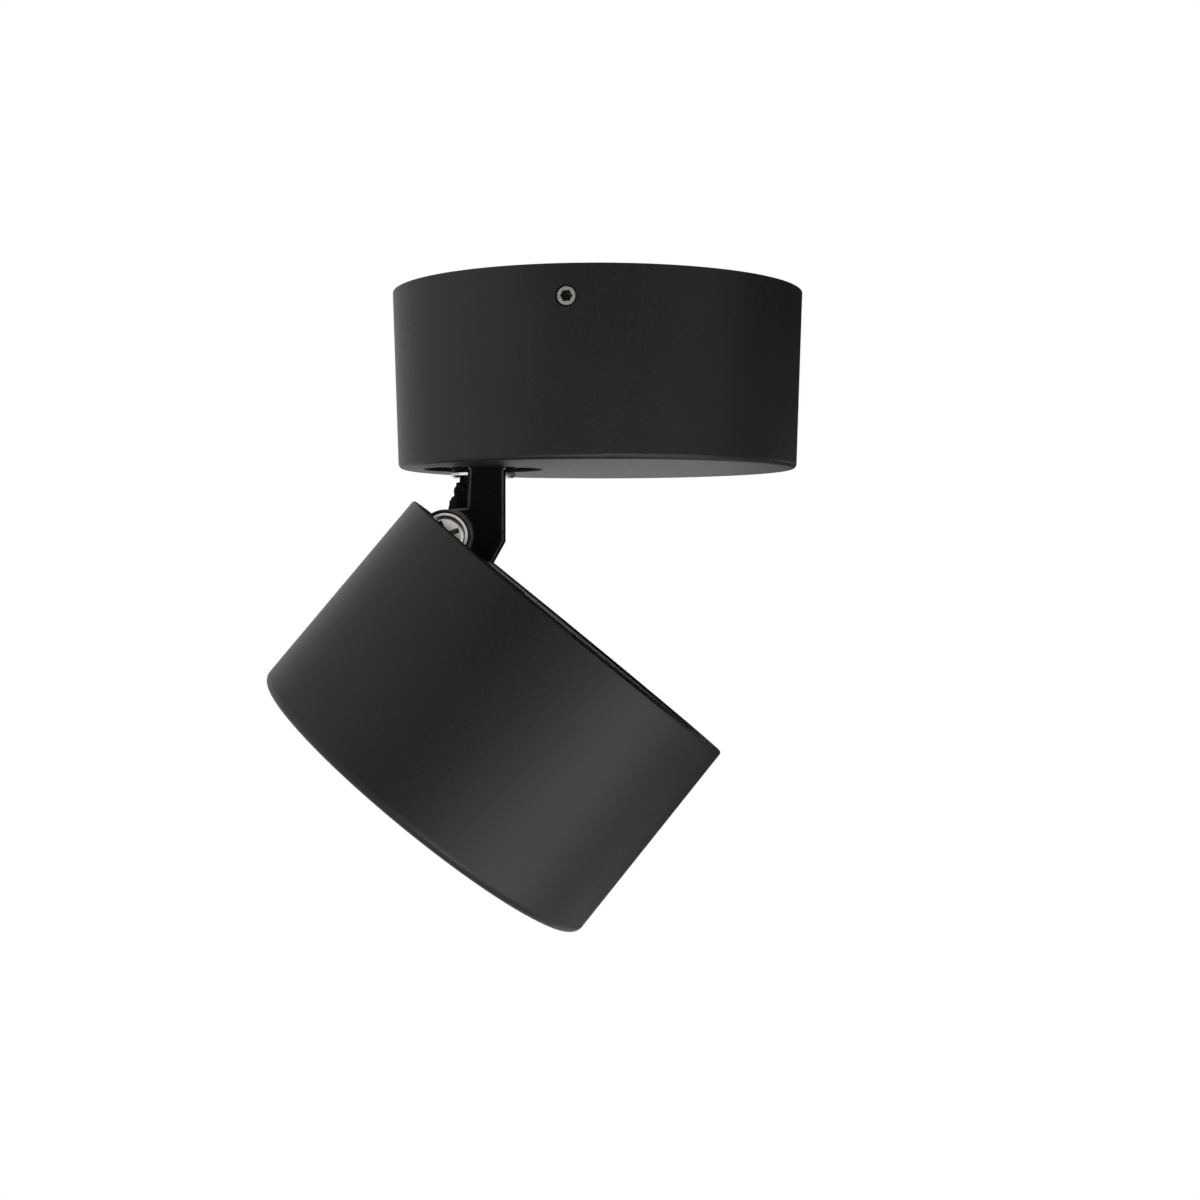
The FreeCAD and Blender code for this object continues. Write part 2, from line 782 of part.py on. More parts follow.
def at_swivel(height):
    """A point on the swivel's axis."""
    return V(swivel_x, 0, height)


def driver_lead_points():
    """The route of the lamp lead from the driver into the swivel tube."""
    start = V(driver_centre[0] - driver_size[0] / 2, 0, tube_top() + driver_lead_height)
    half_way = (start.x + swivel_x) / 2
    points = [start + V(driver_wall, 0, 0)]
    for from_x, (reach, rise) in zip((start.x, half_way, swivel_x), driver_lead_route):
        points.append(V(from_x - reach, 0, start.z + rise))
    return points + [at_swivel(tube_top())]


def swivel_bush():
    """The flanged bush in the canopy's floor."""
    inner = tube_radius + running_gap
    outer = inner + bush_wall
    top = stack_above_floor()[0]
    profile = [(inner, recess_top), (outer, recess_top), (outer, floor_top)]
    profile += [(bush_flange_radius, floor_top), (bush_flange_radius, top), (inner, top)]
    return turned(profile, (swivel_x, 0))


def stop_pin():
    """The pin in the canopy's floor that stops the swivel short of a full turn."""
    top = stack_above_floor()[2] + seat_gap
    return cylinder(stop_pin_radius, stop_pin_foot(), V(stop_pin_foot().x, 0, top))


def swivel_tube():
    """The hollow threaded tube with the bright flange that carries the arm."""
    inner = tube_flange_radius - tube_flange_chamfer
    profile = [(tube_bore_radius, flange_bottom), (inner, flange_bottom)]
    profile += [(tube_flange_radius, flange_bottom + tube_flange_chamfer)]
    profile += [(tube_flange_radius, foot_bottom - tube_flange_chamfer), (inner, foot_bottom)]
    profile += [(tube_radius, foot_bottom), (tube_radius, tube_top()), (tube_bore_radius, tube_top())]
    return turned(profile, (swivel_x, 0))


def swivel_stop_washer():
    """The washer keyed to the tube, with the tab that meets the stop pin."""
    bush_top, bottom, top, spring_top, nut_top = stack_above_floor()
    disc = cylinder(stop_washer_radius, at_swivel(bottom), at_swivel(top))
    half = stop_tab_width / 2
    tab = block(swivel_x - stop_tab_reach, swivel_x, -half, half, bottom, top)
    washer = disc.fuse(tab)
    return washer.cut(cylinder(tube_radius + screw_gap, at_swivel(bottom), at_swivel(top))).removeSplitter()


def swivel_spring_washer():
    """The dished washer that keeps the swivel's friction."""
    bottom = stack_above_floor()[2]
    inner = tube_radius + screw_gap
    raised = bottom + spring_washer_rise
    profile = [(inner, raised), (spring_washer_radius, bottom), (spring_washer_radius, bottom + spring_washer_thickness)]
    profile += [(inner, raised + spring_washer_thickness)]
    return turned(profile, (swivel_x, 0))


def swivel_nut():
    """The thin nut on the swivel tube."""
    bottom, top = stack_above_floor()[3:]
    nut = hexagon(swivel_nut_flats, at_swivel(bottom), at_swivel(top))
    return nut.cut(cylinder(tube_radius + screw_gap, at_swivel(bottom), at_swivel(top)))


def hinge_arm():
    """The cranked arm: a round foot under the canopy, a flat leg and a round knuckle."""
    notch = (pivot_x + leg_notch_from_pivot[0], pivot_z + leg_notch_from_pivot[1])
    toe = (pivot_x + leg_toe_from_pivot[0], pivot_z + leg_toe_from_pivot[1])
    outline = [(leg_left, foot_top), notch, (pivot_x, pivot_z + knuckle_radius)]
    outline += [(pivot_x, pivot_z - knuckle_radius), toe, (leg_right, leg_corner_z), (leg_right, foot_top)]
    leg = prism([V(x, leg_near, z) for x, z in outline], V(0, leg_thickness, 0))
    front = edges_where(leg, lambda p: abs(p.y - leg_near) < touch and p.x > pivot_x + touch and p.z < foot_top + touch)
    front = [edge for edge in front if edge.CenterOfMass.z < foot_top - touch]
    leg = leg.makeChamfer(leg_chamfer, front)
    strap = block(leg_left, leg_right, leg_near, 0, foot_bottom, foot_top)
    foot = cylinder(foot_radius, at_swivel(foot_bottom), at_swivel(foot_top))
    knuckle = cylinder(knuckle_radius, V(pivot_x, knuckle_near, pivot_z), V(pivot_x, leg_far, pivot_z))
    arm = leg.fuse(strap).fuse(foot).fuse(knuckle).removeSplitter()
    arm = arm.cut(cylinder(tube_radius + screw_gap, at_swivel(foot_bottom), at_swivel(foot_top)))
    pin_hole = cylinder(pin_radius + running_gap, V(pivot_x, knuckle_near, pivot_z), V(pivot_x, leg_far, pivot_z))
    return arm.cut(pin_hole)


def lamp_lead():
    """The straight stretch of the lamp lead inside the swivel tube."""
    return cylinder(lamp_lead_diameter / 2, at_swivel(tube_top()), at_swivel(flange_bottom))


def sleeve_end():
    """Where the sleeved lead ends in its clamp, on the closed head."""
    return V(pivot_x + sleeve_end_reach, sleeve_y, depth(sleeve_end_depth))


def lead_sleeve():
    """The sleeved lead from the swivel tube through the head's slot to its clamp."""
    start = V(swivel_x - sleeve_shift, 0, flange_bottom)
    end = sleeve_end()
    points = [start, start - V(0, 0, sleeve_drop)]
    points += [V(pivot_x + x, y, pivot_z + z) for x, y, z in sleeve_route]
    points += [tilted_point(V(pivot_x + x, end.y, pivot_z + z)) for x, z in sleeve_route_in_head]
    points += [tilted_point(end)]
    return lead("lead_sleeve", points, sleeve_diameter)


def head_outer_radius(value):
    """The head's outer radius at a depth below its back face."""
    return head_back_radius + head_flare * value


def post_places():
    """Centres of the posts that carry the heat spreader."""
    return [polar(post_circle, angle, 0) for angle in post_angles]


def head_housing():
    """The head's round cup with its slotted back, rim and inner posts."""
    front = depth(head_depth)
    profile = [(0, back_z), (head_back_radius, back_z), (head_front_radius, front)]
    profile += [(head_front_radius - head_wall, front)]
    profile += [(head_outer_radius(head_back_wall) - head_wall, back_inner), (0, back_inner)]
    cup = turned(profile)
    front_rim = head_front_radius - touch
    front_edge = edges_where(cup, lambda p: abs(p.z - front) < touch and math.hypot(p.x, p.y) > front_rim)
    cup = cup.makeFillet(head_front_round, front_edge)
    back_rim = head_back_radius - touch
    back_edge = edges_where(cup, lambda p: abs(p.z - back_z) < touch and math.hypot(p.x, p.y) > back_rim)
    cup = cup.makeFillet(head_back_round, back_edge)
    face = Part.makeCylinder(head_back_radius - head_rim_width, head_rim_height, V(0, 0, depth(head_rim_height)))
    cup = cup.cut(face)
    for place in post_places():
        height = spreader_top - head_back_wall
        post = Part.makeCylinder(post_radius, height, V(place.x, place.y, depth(spreader_top)))
        reach = spreader_screw_length - spreader_thickness + fit_gap
        hole = Part.makeCylinder(spreader_screw_radius + screw_gap, reach, V(place.x, place.y, depth(spreader_top)))
        cup = cup.fuse(post).cut(hole)
    return cup.cut(hinge_slot()).cut(bracket_screw_holes(head_rim_height, head_back_wall)).removeSplitter()


def hinge_slot():
    """The rounded slot in the head's back for the arm, the pin and the lead."""
    slot = block(pivot_x - slot_left, pivot_x + slot_right, slot_near, slot_far, back_inner - cut_over, back_z + cut_over)
    vertical = [edge for edge in slot.Edges if abs(edge.Vertexes[0].Z - edge.Vertexes[1].Z) > 1]
    return slot.makeFillet(slot_corner_round, vertical)


def bracket_screw_holes(start, end):
    """Countersunk holes for the bracket's screws between two depths."""
    holes = []
    for x in [pivot_x + reach for reach in bracket_screw_reach]:
        radius = bracket_screw_radius + screw_gap
        holes.append(cylinder(radius, V(x, 0, depth(start)), V(x, 0, depth(end))))
        if start < head_back_wall:
            cone_depth = bracket_screw_head_radius - bracket_screw_radius
            top = V(x, 0, depth(start))
            holes.append(Part.makeCone(bracket_screw_head_radius + screw_gap, radius, cone_depth, top, DOWN))
    return holes[0].fuse(holes[1:])


def hinge_bracket():
    """The bracket inside the head, whose ear rises through the slot to the hinge pin."""
    foot_front = head_back_wall + bracket_foot_thickness
    web_right = pivot_x + web_reach
    foot_left = pivot_x + bracket_foot_start
    foot_right = foot_left + bracket_foot_length
    ear = cylinder(ear_radius, V(pivot_x, ear_near, pivot_z), V(pivot_x, ear_far, pivot_z))
    outline = [(pivot_x, pivot_z + ear_radius), (pivot_x + web_shoulder, back_inner)]
    outline += [(web_right, back_inner), (web_right, depth(web_depth)), (pivot_x, pivot_z - ear_radius)]
    web = prism([V(x, ear_near, z) for x, z in outline], V(0, ear_thickness, 0))
    foot = block(foot_left, foot_right, ear_near, bracket_foot_far, depth(foot_front), back_inner)
    bracket = ear.fuse(web).fuse(foot).removeSplitter()
    pin_hole = cylinder(pin_radius + screw_gap, V(pivot_x, ear_near, pivot_z), V(pivot_x, ear_far, pivot_z))
    seat = clamp_screw_seat()
    clamp_hole = cylinder(clamp_screw_radius + screw_gap, seat, V(seat.x, ear_near, seat.z))
    return bracket.cut(pin_hole).cut(clamp_hole).cut(bracket_screw_holes(head_back_wall, foot_front))


def bracket_screws():
    """The two countersunk screws through the head's back into the bracket."""
    length = head_back_wall + bracket_foot_thickness - head_rim_height
    screws = []
    for x in [pivot_x + reach for reach in bracket_screw_reach]:
        top = V(x, 0, depth(head_rim_height))
        screws.append(flat_screw(bracket_screw_radius, bracket_screw_head_radius, length, top, DOWN))
    return screws


def pivot_screw():
    """The pan head screw that is the hinge pin."""
    seat = V(pivot_x, washer_near, pivot_z)
    length = nut_far + pin_end_proud - washer_near
    head_top = seat - V(0, pin_head_height, 0)
    head = cylinder(pin_head_radius, head_top, seat)
    rim = [edge for edge in head.Edges if abs(edge.CenterOfMass.y - head_top.y) < touch]
    head = head.makeFillet(pin_head_round, rim)
    screw = head.fuse(cylinder(pin_radius, seat, seat + V(0, length, 0)))
    screw = cross_recess(screw, head_top, V(0, 1, 0), pin_recess_width, pin_recess_length, pin_recess_depth)
    screw.rotate(pivot, V(0, 1, 0), -tilt_deg - pin_recess_turn)
    return screw


def pin_ring(radius, inner, near, far):
    """A washer about the hinge pin."""
    disc = cylinder(radius, V(pivot_x, near, pivot_z), V(pivot_x, far, pivot_z))
    return disc.cut(cylinder(inner, V(pivot_x, near, pivot_z), V(pivot_x, far, pivot_z)))


def pivot_lock_nut():
    """The lock nut at the far end of the hinge pin."""
    nut = hexagon(lock_nut_flats, V(pivot_x, ear_far, pivot_z), V(pivot_x, nut_far, pivot_z))
    return nut.cut(cylinder(pin_radius + screw_gap, V(pivot_x, ear_far, pivot_z), V(pivot_x, nut_far, pivot_z)))


def clamp_screw_seat():
    """Where the head of the lead clamp's screw sits, on the clamp's tab."""
    end = sleeve_end()
    return V(end.x + clamp_tab_length - clamp_screw_inset, ear_far + clamp_tab_thickness, end.z)


def lead_clamp():
    """The clamp round the sleeved lead's end, with a tab against the bracket."""
    end = sleeve_end()
    reach = sleeve_diameter / 2 + seat_gap + clamp_wall
    right = end.x + clamp_lap
    left = right - clamp_length
    body = block(left, right, ear_far, end.y + reach, end.z - reach, end.z + reach)
    body = body.cut(cylinder(sleeve_diameter / 2 + seat_gap, V(left - cut_over, end.y, end.z), end))
    half = clamp_tab_height / 2
    tab = block(right, end.x + clamp_tab_length, ear_far, ear_far + clamp_tab_thickness, end.z - half, end.z + half)
    seat = clamp_screw_seat()
    clamp = body.fuse(tab).cut(cylinder(clamp_screw_radius + fit_gap, seat, V(seat.x, ear_far, seat.z)))
    for start in wire_starts():
        clamp = clamp.cut(cylinder(wire_diameter / 2 + fit_gap, start - V(cut_over, 0, 0), start + V(clamp_lap + cut_over, 0, 0)))
    return clamp.removeSplitter()


def clamp_screw():
    """The screw that holds the lead clamp to the bracket."""
    length = clamp_tab_thickness + thread_share * ear_thickness
    radius = clamp_screw_radius
    return pan_screw(radius, 2 * radius, radius, length, clamp_screw_seat(), V(0, -1, 0))


def wire_starts():
    """Where the two lamp wires leave the sleeve, on the closed head."""
    end = sleeve_end()
    return [end + V(0, side * wire_pair_offset[1] / 2, 0) for side in (-1, 1)]


def head_wires():
    """The two wires from the sleeve through the heat spreader to the board."""
    end_x, end_y = wire_hole_centre
    far_x, near_x, near_y = head_wire_route
    bend_depth, entry_depth = head_wire_depths
    wires = []
    for side, start in zip((-1, 1), wire_starts()):
        shift = V(-side * wire_pair_offset[0] / 2, side * wire_pair_offset[1] / 2, 0)
        points = [start, V(end_x - far_x, sleeve_end().y, sleeve_end().z) + shift]
        points += [V(end_x - near_x, end_y - near_y, depth(bend_depth)) + shift]
        points += [V(end_x, end_y, depth(entry_depth)) + shift]
        points += [V(end_x, end_y, depth(holder_top)) + shift]
        wires.append(lead("head_wire", points, wire_diameter))
    return wires


def wire_hole(start, end):
    """The hole for the two wires between two depths."""
    x, y = wire_hole_centre
    return cylinder(wire_hole_radius, V(x, y, depth(start)), V(x, y, depth(end)))


def heat_spreader():
    """The aluminium disc behind the board, with fins on its back away from the hinge."""
    front = depth(spreader_front)
    disc = Part.makeCylinder(spreader_radius, spreader_thickness, V(0, 0, front))
    round_edge = Part.makeCylinder(spreader_radius, spreader_thickness + spreader_fin_height, V(0, 0, front))
    count = int(spreader_radius / spreader_fin_pitch)
    for index in range(-count, count + 1):
        y = index * spreader_fin_pitch
        half = spreader_fin_thickness / 2
        top = depth(spreader_top - spreader_fin_height)
        fin = block(spreader_fin_start, spreader_radius, y - half, y + half, depth(spreader_top), top)
        disc = disc.fuse(fin.common(round_edge))
    for place in post_places():
        room = cylinder(post_radius + post_room, V(place.x, place.y, depth(spreader_top)), V(place.x, place.y, depth(0)))
        hole = cylinder(spreader_screw_radius + fit_gap, V(place.x, place.y, front), V(place.x, place.y, depth(0)))
        disc = disc.cut(room).cut(hole)
    for x in (-holder_screw_circle, holder_screw_circle):
        disc = disc.cut(cylinder(holder_screw_radius + screw_gap, V(x, 0, front), V(x, 0, front + holder_screw_grip())))
    return disc.cut(wire_hole(0, spreader_front)).removeSplitter()


def holder_screw_grip():
    """How far the holder's screws reach into the heat spreader."""
    return holder_screw_share * spreader_thickness


def spreader_screws():
    """The three screws that hold the heat spreader to the head's posts."""
    screws = []
    for place in post_places():
        seat = V(place.x, place.y, depth(spreader_front))
        radius = spreader_screw_radius
        screws.append(pan_screw(radius, 2 * radius, radius, spreader_screw_length, seat, UP))
    return screws


def disc_at(radius, start, end):
    """A disc on the closed head's axis between two depths."""
    return cylinder(radius, V(0, 0, depth(start)), V(0, 0, depth(end)))


def thermal_pad():
    """The soft pad between the heat spreader and the board."""
    return disc_at(pad_radius, spreader_front, led_board_top).cut(wire_hole(spreader_front, led_board_top))


def led_board():
    """The round aluminium board."""
    board = disc_at(pad_radius, led_board_top, holder_top)
    return board.cut(wire_hole(led_board_top, holder_top))


def led_emitter():
    """The round emitter on the board."""
    return disc_at(led_radius, holder_top, holder_top + led_thickness)


def led_holder():
    """The white ring that clamps the board, open over the emitter and the wires."""
    front = holder_top + holder_thickness
    ring = disc_at(holder_radius, spreader_front, front)
    ring = ring.cut(disc_at(pad_radius + fit_gap, spreader_front, holder_top))
    ring = ring.cut(disc_at(holder_opening_radius, holder_top, front))
    for x in (-holder_screw_circle, holder_screw_circle):
        ring = ring.cut(cylinder(holder_screw_radius + fit_gap, V(x, 0, depth(spreader_front)), V(x, 0, depth(front))))
    return ring.cut(wire_hole(holder_top, holder_top + wire_diameter)).removeSplitter()


def holder_screws():
    """The two screws that hold the board's holder to the heat spreader."""
    screws = []
    for x in (-holder_screw_circle, holder_screw_circle):
        seat = V(x, 0, depth(holder_top + holder_thickness))
        length = holder_top + holder_thickness - spreader_front + holder_screw_grip()
        radius = holder_screw_radius
        screws.append(pan_screw(radius, 2 * radius, radius, length, seat, UP))
    return screws


def reflector():
    """The bright cone from the emitter to the lens, with a lip under the lens."""
    back = holder_top + holder_thickness
    lip = lens_depth - reflector_wall
    outer = reflector_outer_radius
    profile = [(reflector_inner_radius, depth(back)), (reflector_inner_radius + reflector_wall, depth(back))]
    profile += [(outer + reflector_wall, depth(lip)), (outer + reflector_lip + reflector_wall, depth(lip))]
    profile += [(outer + reflector_lip + reflector_wall, depth(lens_depth)), (outer, depth(lens_depth))]
    return turned(profile)


def lens():
    """The clear front disc."""
    disc = disc_at(lens_radius, lens_depth, lens_depth + lens_thickness)
    return disc.makeChamfer(lens_chamfer, [edge for edge in disc.Edges if len(edge.Vertexes) == 1])


def lens_gasket():
    """The soft ring between the lens and the baffle."""
    start = lens_depth + lens_thickness
    ring = disc_at(lens_radius, start, start + gasket_thickness)
    return ring.cut(disc_at(lens_radius - gasket_width, start, start + gasket_thickness))


def front_baffle():
    """The black cone in the head's mouth, with the skirt that grips the head's wall."""
    ledge = lens_depth + lens_thickness + gasket_thickness
    front = head_depth - baffle_setback
    inset = head_wall + baffle_fit
    top = front - baffle_skirt
    skirt_front = head_outer_radius(front) - inset
    skirt_top = head_outer_radius(top) - inset
    profile = [(baffle_top_radius, depth(ledge)), (lens_radius + fit_gap, depth(ledge))]
    profile += [(lens_radius + fit_gap, depth(top)), (skirt_top, depth(top)), (skirt_front, depth(front))]
    profile += [(baffle_front_radius, depth(front))]
    hollow_out = skirt_top - baffle_wall
    hollow_in = lens_radius + fit_gap + baffle_wall
    floor = ledge + baffle_wall
    hollow = [(hollow_in, depth(top)), (hollow_out, depth(top)), (hollow_out, depth(floor)), (hollow_in, depth(floor))]
    return turned(profile).cut(turned(hollow))


def export(name, solids, on_head=False):
    """Write one sub-part, turning the head's with the head."""
    shape = solids if isinstance(solids, Part.Shape) else Part.makeCompound(list(solids))
    shape = tilted(shape) if on_head else shape
    if not shape.isValid():
        raise ValueError(name + " is not a valid solid")
    shape.exportStep("parts/" + name + ".step")


def build():
    """Write every sub-part."""
    os.makedirs("parts", exist_ok=True)
    transformer, capacitor, inductor = board_parts()
    fixed = {
        "canopy_housing": canopy_housing(),
        "ceiling_plate": ceiling_plate(),
        "canopy_set_screws": canopy_set_screws(),
        "cable_grommet": cable_grommet(),
        "terminal_block": terminal_block(),
        "terminal_screws": terminal_screws(),
        "terminal_fixing_screw": terminal_fixing_screw(),
        "earth_screw": earth_screw(),
        "earth_tag": earth_tag(),
        "earth_lead": earth_lead(),
        "mains_leads": mains_leads(),
        "driver_case": driver_case(),
        "driver_lid": driver_lid(),
        "driver_board": driver_board(),
        "driver_transformer": transformer,
        "driver_capacitor": capacitor,
        "driver_inductor": inductor,
        "driver_screws": driver_screws(),
        "driver_lead": lead("driver_lead", driver_lead_points(), lamp_lead_diameter),
        "swivel_bush": swivel_bush(),
        "swivel_stop_pin": stop_pin(),
        "swivel_tube": swivel_tube(),
        "swivel_stop_washer": swivel_stop_washer(),
        "swivel_spring_washer": swivel_spring_washer(),
        "swivel_nut": swivel_nut(),
        "hinge_arm": hinge_arm(),
        "lamp_lead": lamp_lead(),
        "lead_sleeve": lead_sleeve(),
    }
    moving = {
        "head_housing": head_housing(),
        "hinge_bracket": hinge_bracket(),
        "bracket_screws": bracket_screws(),
        "pivot_screw": pivot_screw(),
        "pivot_washer": pin_ring(pin_washer_radius, pin_radius + screw_gap, washer_near, knuckle_near),
        "friction_washer": pin_ring(friction_washer_radius, pin_radius + screw_gap, leg_far, ear_near),
        "pivot_lock_nut": pivot_lock_nut(),
        "lead_clamp": lead_clamp(),
        "clamp_screw": clamp_screw(),
        "head_wires": head_wires(),
        "heat_spreader": heat_spreader(),
        "spreader_screws": spreader_screws(),
        "thermal_pad": thermal_pad(),
        "led_board": led_board(),
        "led_emitter": led_emitter(),
        "led_holder": led_holder(),
        "holder_screws": holder_screws(),
        "reflector": reflector(),
        "lens": lens(),
        "lens_gasket": lens_gasket(),
        "front_baffle": front_baffle(),
    }
    for name, solids in fixed.items():
        export(name, solids)
    for name, solids in moving.items():
        export(name, solids, on_head=True)


build()
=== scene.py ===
"""Surface mounted ceiling spotlight: the finishes, the sleeve over the lead and the studio, in metres.

The frame's solids keep their places and their meshes, and each gets the finish of its material slot. The
one piece made here is the braided sleeve over the lead beside the arm. Its route outside the head is given
for the frame's rest pose. Its route inside the head is given for the closed head, coaxial under the canopy,
and is turned about the hinge.
"""

import enum
import json
import logging
import math
from dataclasses import dataclass
from typing import Any, Callable, Mapping, Sequence

import bmesh
import bpy
from mathutils import Matrix, Vector, noise


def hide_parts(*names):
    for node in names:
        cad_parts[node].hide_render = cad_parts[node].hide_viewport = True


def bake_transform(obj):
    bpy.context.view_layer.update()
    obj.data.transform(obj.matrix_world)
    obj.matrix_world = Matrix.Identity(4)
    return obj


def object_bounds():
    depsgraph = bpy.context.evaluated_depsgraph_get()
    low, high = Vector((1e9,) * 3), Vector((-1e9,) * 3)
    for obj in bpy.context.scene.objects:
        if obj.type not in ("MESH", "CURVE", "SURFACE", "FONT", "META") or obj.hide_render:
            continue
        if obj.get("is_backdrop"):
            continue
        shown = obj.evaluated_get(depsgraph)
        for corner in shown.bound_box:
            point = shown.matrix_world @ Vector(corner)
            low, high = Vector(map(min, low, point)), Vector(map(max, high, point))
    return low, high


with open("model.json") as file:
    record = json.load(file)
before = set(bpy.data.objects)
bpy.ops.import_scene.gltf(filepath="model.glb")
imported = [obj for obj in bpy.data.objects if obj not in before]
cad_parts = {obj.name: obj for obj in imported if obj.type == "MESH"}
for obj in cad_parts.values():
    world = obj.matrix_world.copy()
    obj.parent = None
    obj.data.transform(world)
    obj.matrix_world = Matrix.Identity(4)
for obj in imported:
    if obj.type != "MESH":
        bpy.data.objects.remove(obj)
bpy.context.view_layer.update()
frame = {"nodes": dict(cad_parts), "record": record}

LOG = logging.getLogger("spotlight")

Colour = tuple[float, float, float]
Range = tuple[float, float]
Place = tuple[float, float, float]

WHITE: Colour = (1.0, 1.0, 1.0)
MIDDLE: Range = (0.3, 0.7)


class Body(str, enum.Enum):
    """The bodies that the sleeve runs between."""

    ARM = "arm"
    HEAD = "head"


class Operation(str, enum.Enum):
    """The Math node's operations that the shaders use."""

    ABSOLUTE = "ABSOLUTE"
    ADD = "ADD"
    DIVIDE = "DIVIDE"
    GREATER_THAN = "GREATER_THAN"
    MAXIMUM = "MAXIMUM"
    MULTIPLY = "MULTIPLY"
    SINE = "SINE"
    SUBTRACT = "SUBTRACT"


def rgba(colour: Colour) -> tuple[float, float, float, float]:
    """A colour with full alpha, as a socket takes it."""
    return (*colour, 1.0)


class Signal:
    """A node's output that takes part in Python expressions."""

    def __init__(self, graph: "Graph", socket: bpy.types.NodeSocket) -> None:
        """Wrap a socket.

        Args:
            graph: The node tree that the socket belongs to.
            socket: The output socket.
        """
        self.graph = graph
        self.socket = socket

    def maths(self, operation: Operation, *others: "Signal | float") -> "Signal":
        """Add a Math node to this signal.

        Args:
            operation: The node's operation.
            others: The second and third operands.

        Returns:
            The result as a signal.
        """
        inputs = dict(enumerate((self, *others)))
        return self.graph.signal("ShaderNodeMath", {"operation": operation.value}, inputs, "Value")

    def __add__(self, other: "Signal | float") -> "Signal":
        """Return self + other."""
        return self.maths(Operation.ADD, other)

    __radd__ = __add__

    def __mul__(self, other: "Signal | float") -> "Signal":
        """Return self * other."""
        return self.maths(Operation.MULTIPLY, other)

    __rmul__ = __mul__

    def __sub__(self, other: "Signal | float") -> "Signal":
        """Return self - other."""
        return self.maths(Operation.SUBTRACT, other)

    def __rsub__(self, other: float) -> "Signal":
        """Return other - self."""
        return self * -1.0 + other

    def __truediv__(self, other: "Signal | float") -> "Signal":
        """Return self / other."""
        return self.maths(Operation.DIVIDE, other)

    def __abs__(self) -> "Signal":
        """Return the signal without its sign."""
        return self.maths(Operation.ABSOLUTE)

    def above(self, limit: float) -> "Signal":
        """One where the signal is above a limit, and zero elsewhere."""
        return self.maths(Operation.GREATER_THAN, limit)

    def larger(self, other: "Signal | float") -> "Signal":
        """The larger of two signals."""
        return self.maths(Operation.MAXIMUM, other)

    def sine(self) -> "Signal":
        """The signal's sine."""
        return self.maths(Operation.SINE)

    def span(self, low: float, high: float, start: float = 0.0, end: float = 1.0) -> "Signal":
        """Map the signal from one range to another, clamped.

        Args:
            low: The value that gives start.
            high: The value that gives end.
            start: The first result.
            end: The last result.

        Returns:
            The mapped signal.
        """
        inputs = {"Value": self, "From Min": low, "From Max": high, "To Min": start, "To Max": end}
        return self.graph.signal("ShaderNodeMapRange", {"clamp": True}, inputs, "Result")


class Graph:
    """A node tree under construction."""

    def __init__(self, tree: bpy.types.NodeTree) -> None:
        """Start from an emptied node tree."""
        self.tree = tree
        self.tree.nodes.clear()

    def node(self, kind: str, settings: Mapping[str, Any], inputs: Mapping[Any, Any]) -> bpy.types.Node:
        """Add any node.

        Args:
            kind: The node's type name.
            settings: Properties that are set first.
            inputs: Values, signals or sockets by input name or number.

        Returns:
            The node.
        """
        made = self.tree.nodes.new(kind)
        for key, value in settings.items():
            setattr(made, key, value)
        for key, value in inputs.items():
            self._feed(made.inputs[key], value)
        return made

    def _feed(self, target: bpy.types.NodeSocket, value: Any) -> None:
        """Link an input to a signal or socket, or set it to a plain value.

        Args:
            target: The input.
            value: The signal, socket or plain value.
        """
        source = value.socket if isinstance(value, Signal) else value
        if isinstance(source, bpy.types.NodeSocket):
            self.tree.links.new(source, target)
        else:
            target.default_value = source

    def signal(
        self, kind: str, settings: Mapping[str, Any], inputs: Mapping[Any, Any], output: str | int
    ) -> Signal:
        """Add a node and wrap one of its outputs.

        Args:
            kind: The node's type name.
            settings: Properties that are set first.
            inputs: Values or signals by input name or number.
            output: The output's name or number.

        Returns:
            The output as a signal.
        """
        return Signal(self, self.node(kind, settings, inputs).outputs[output])


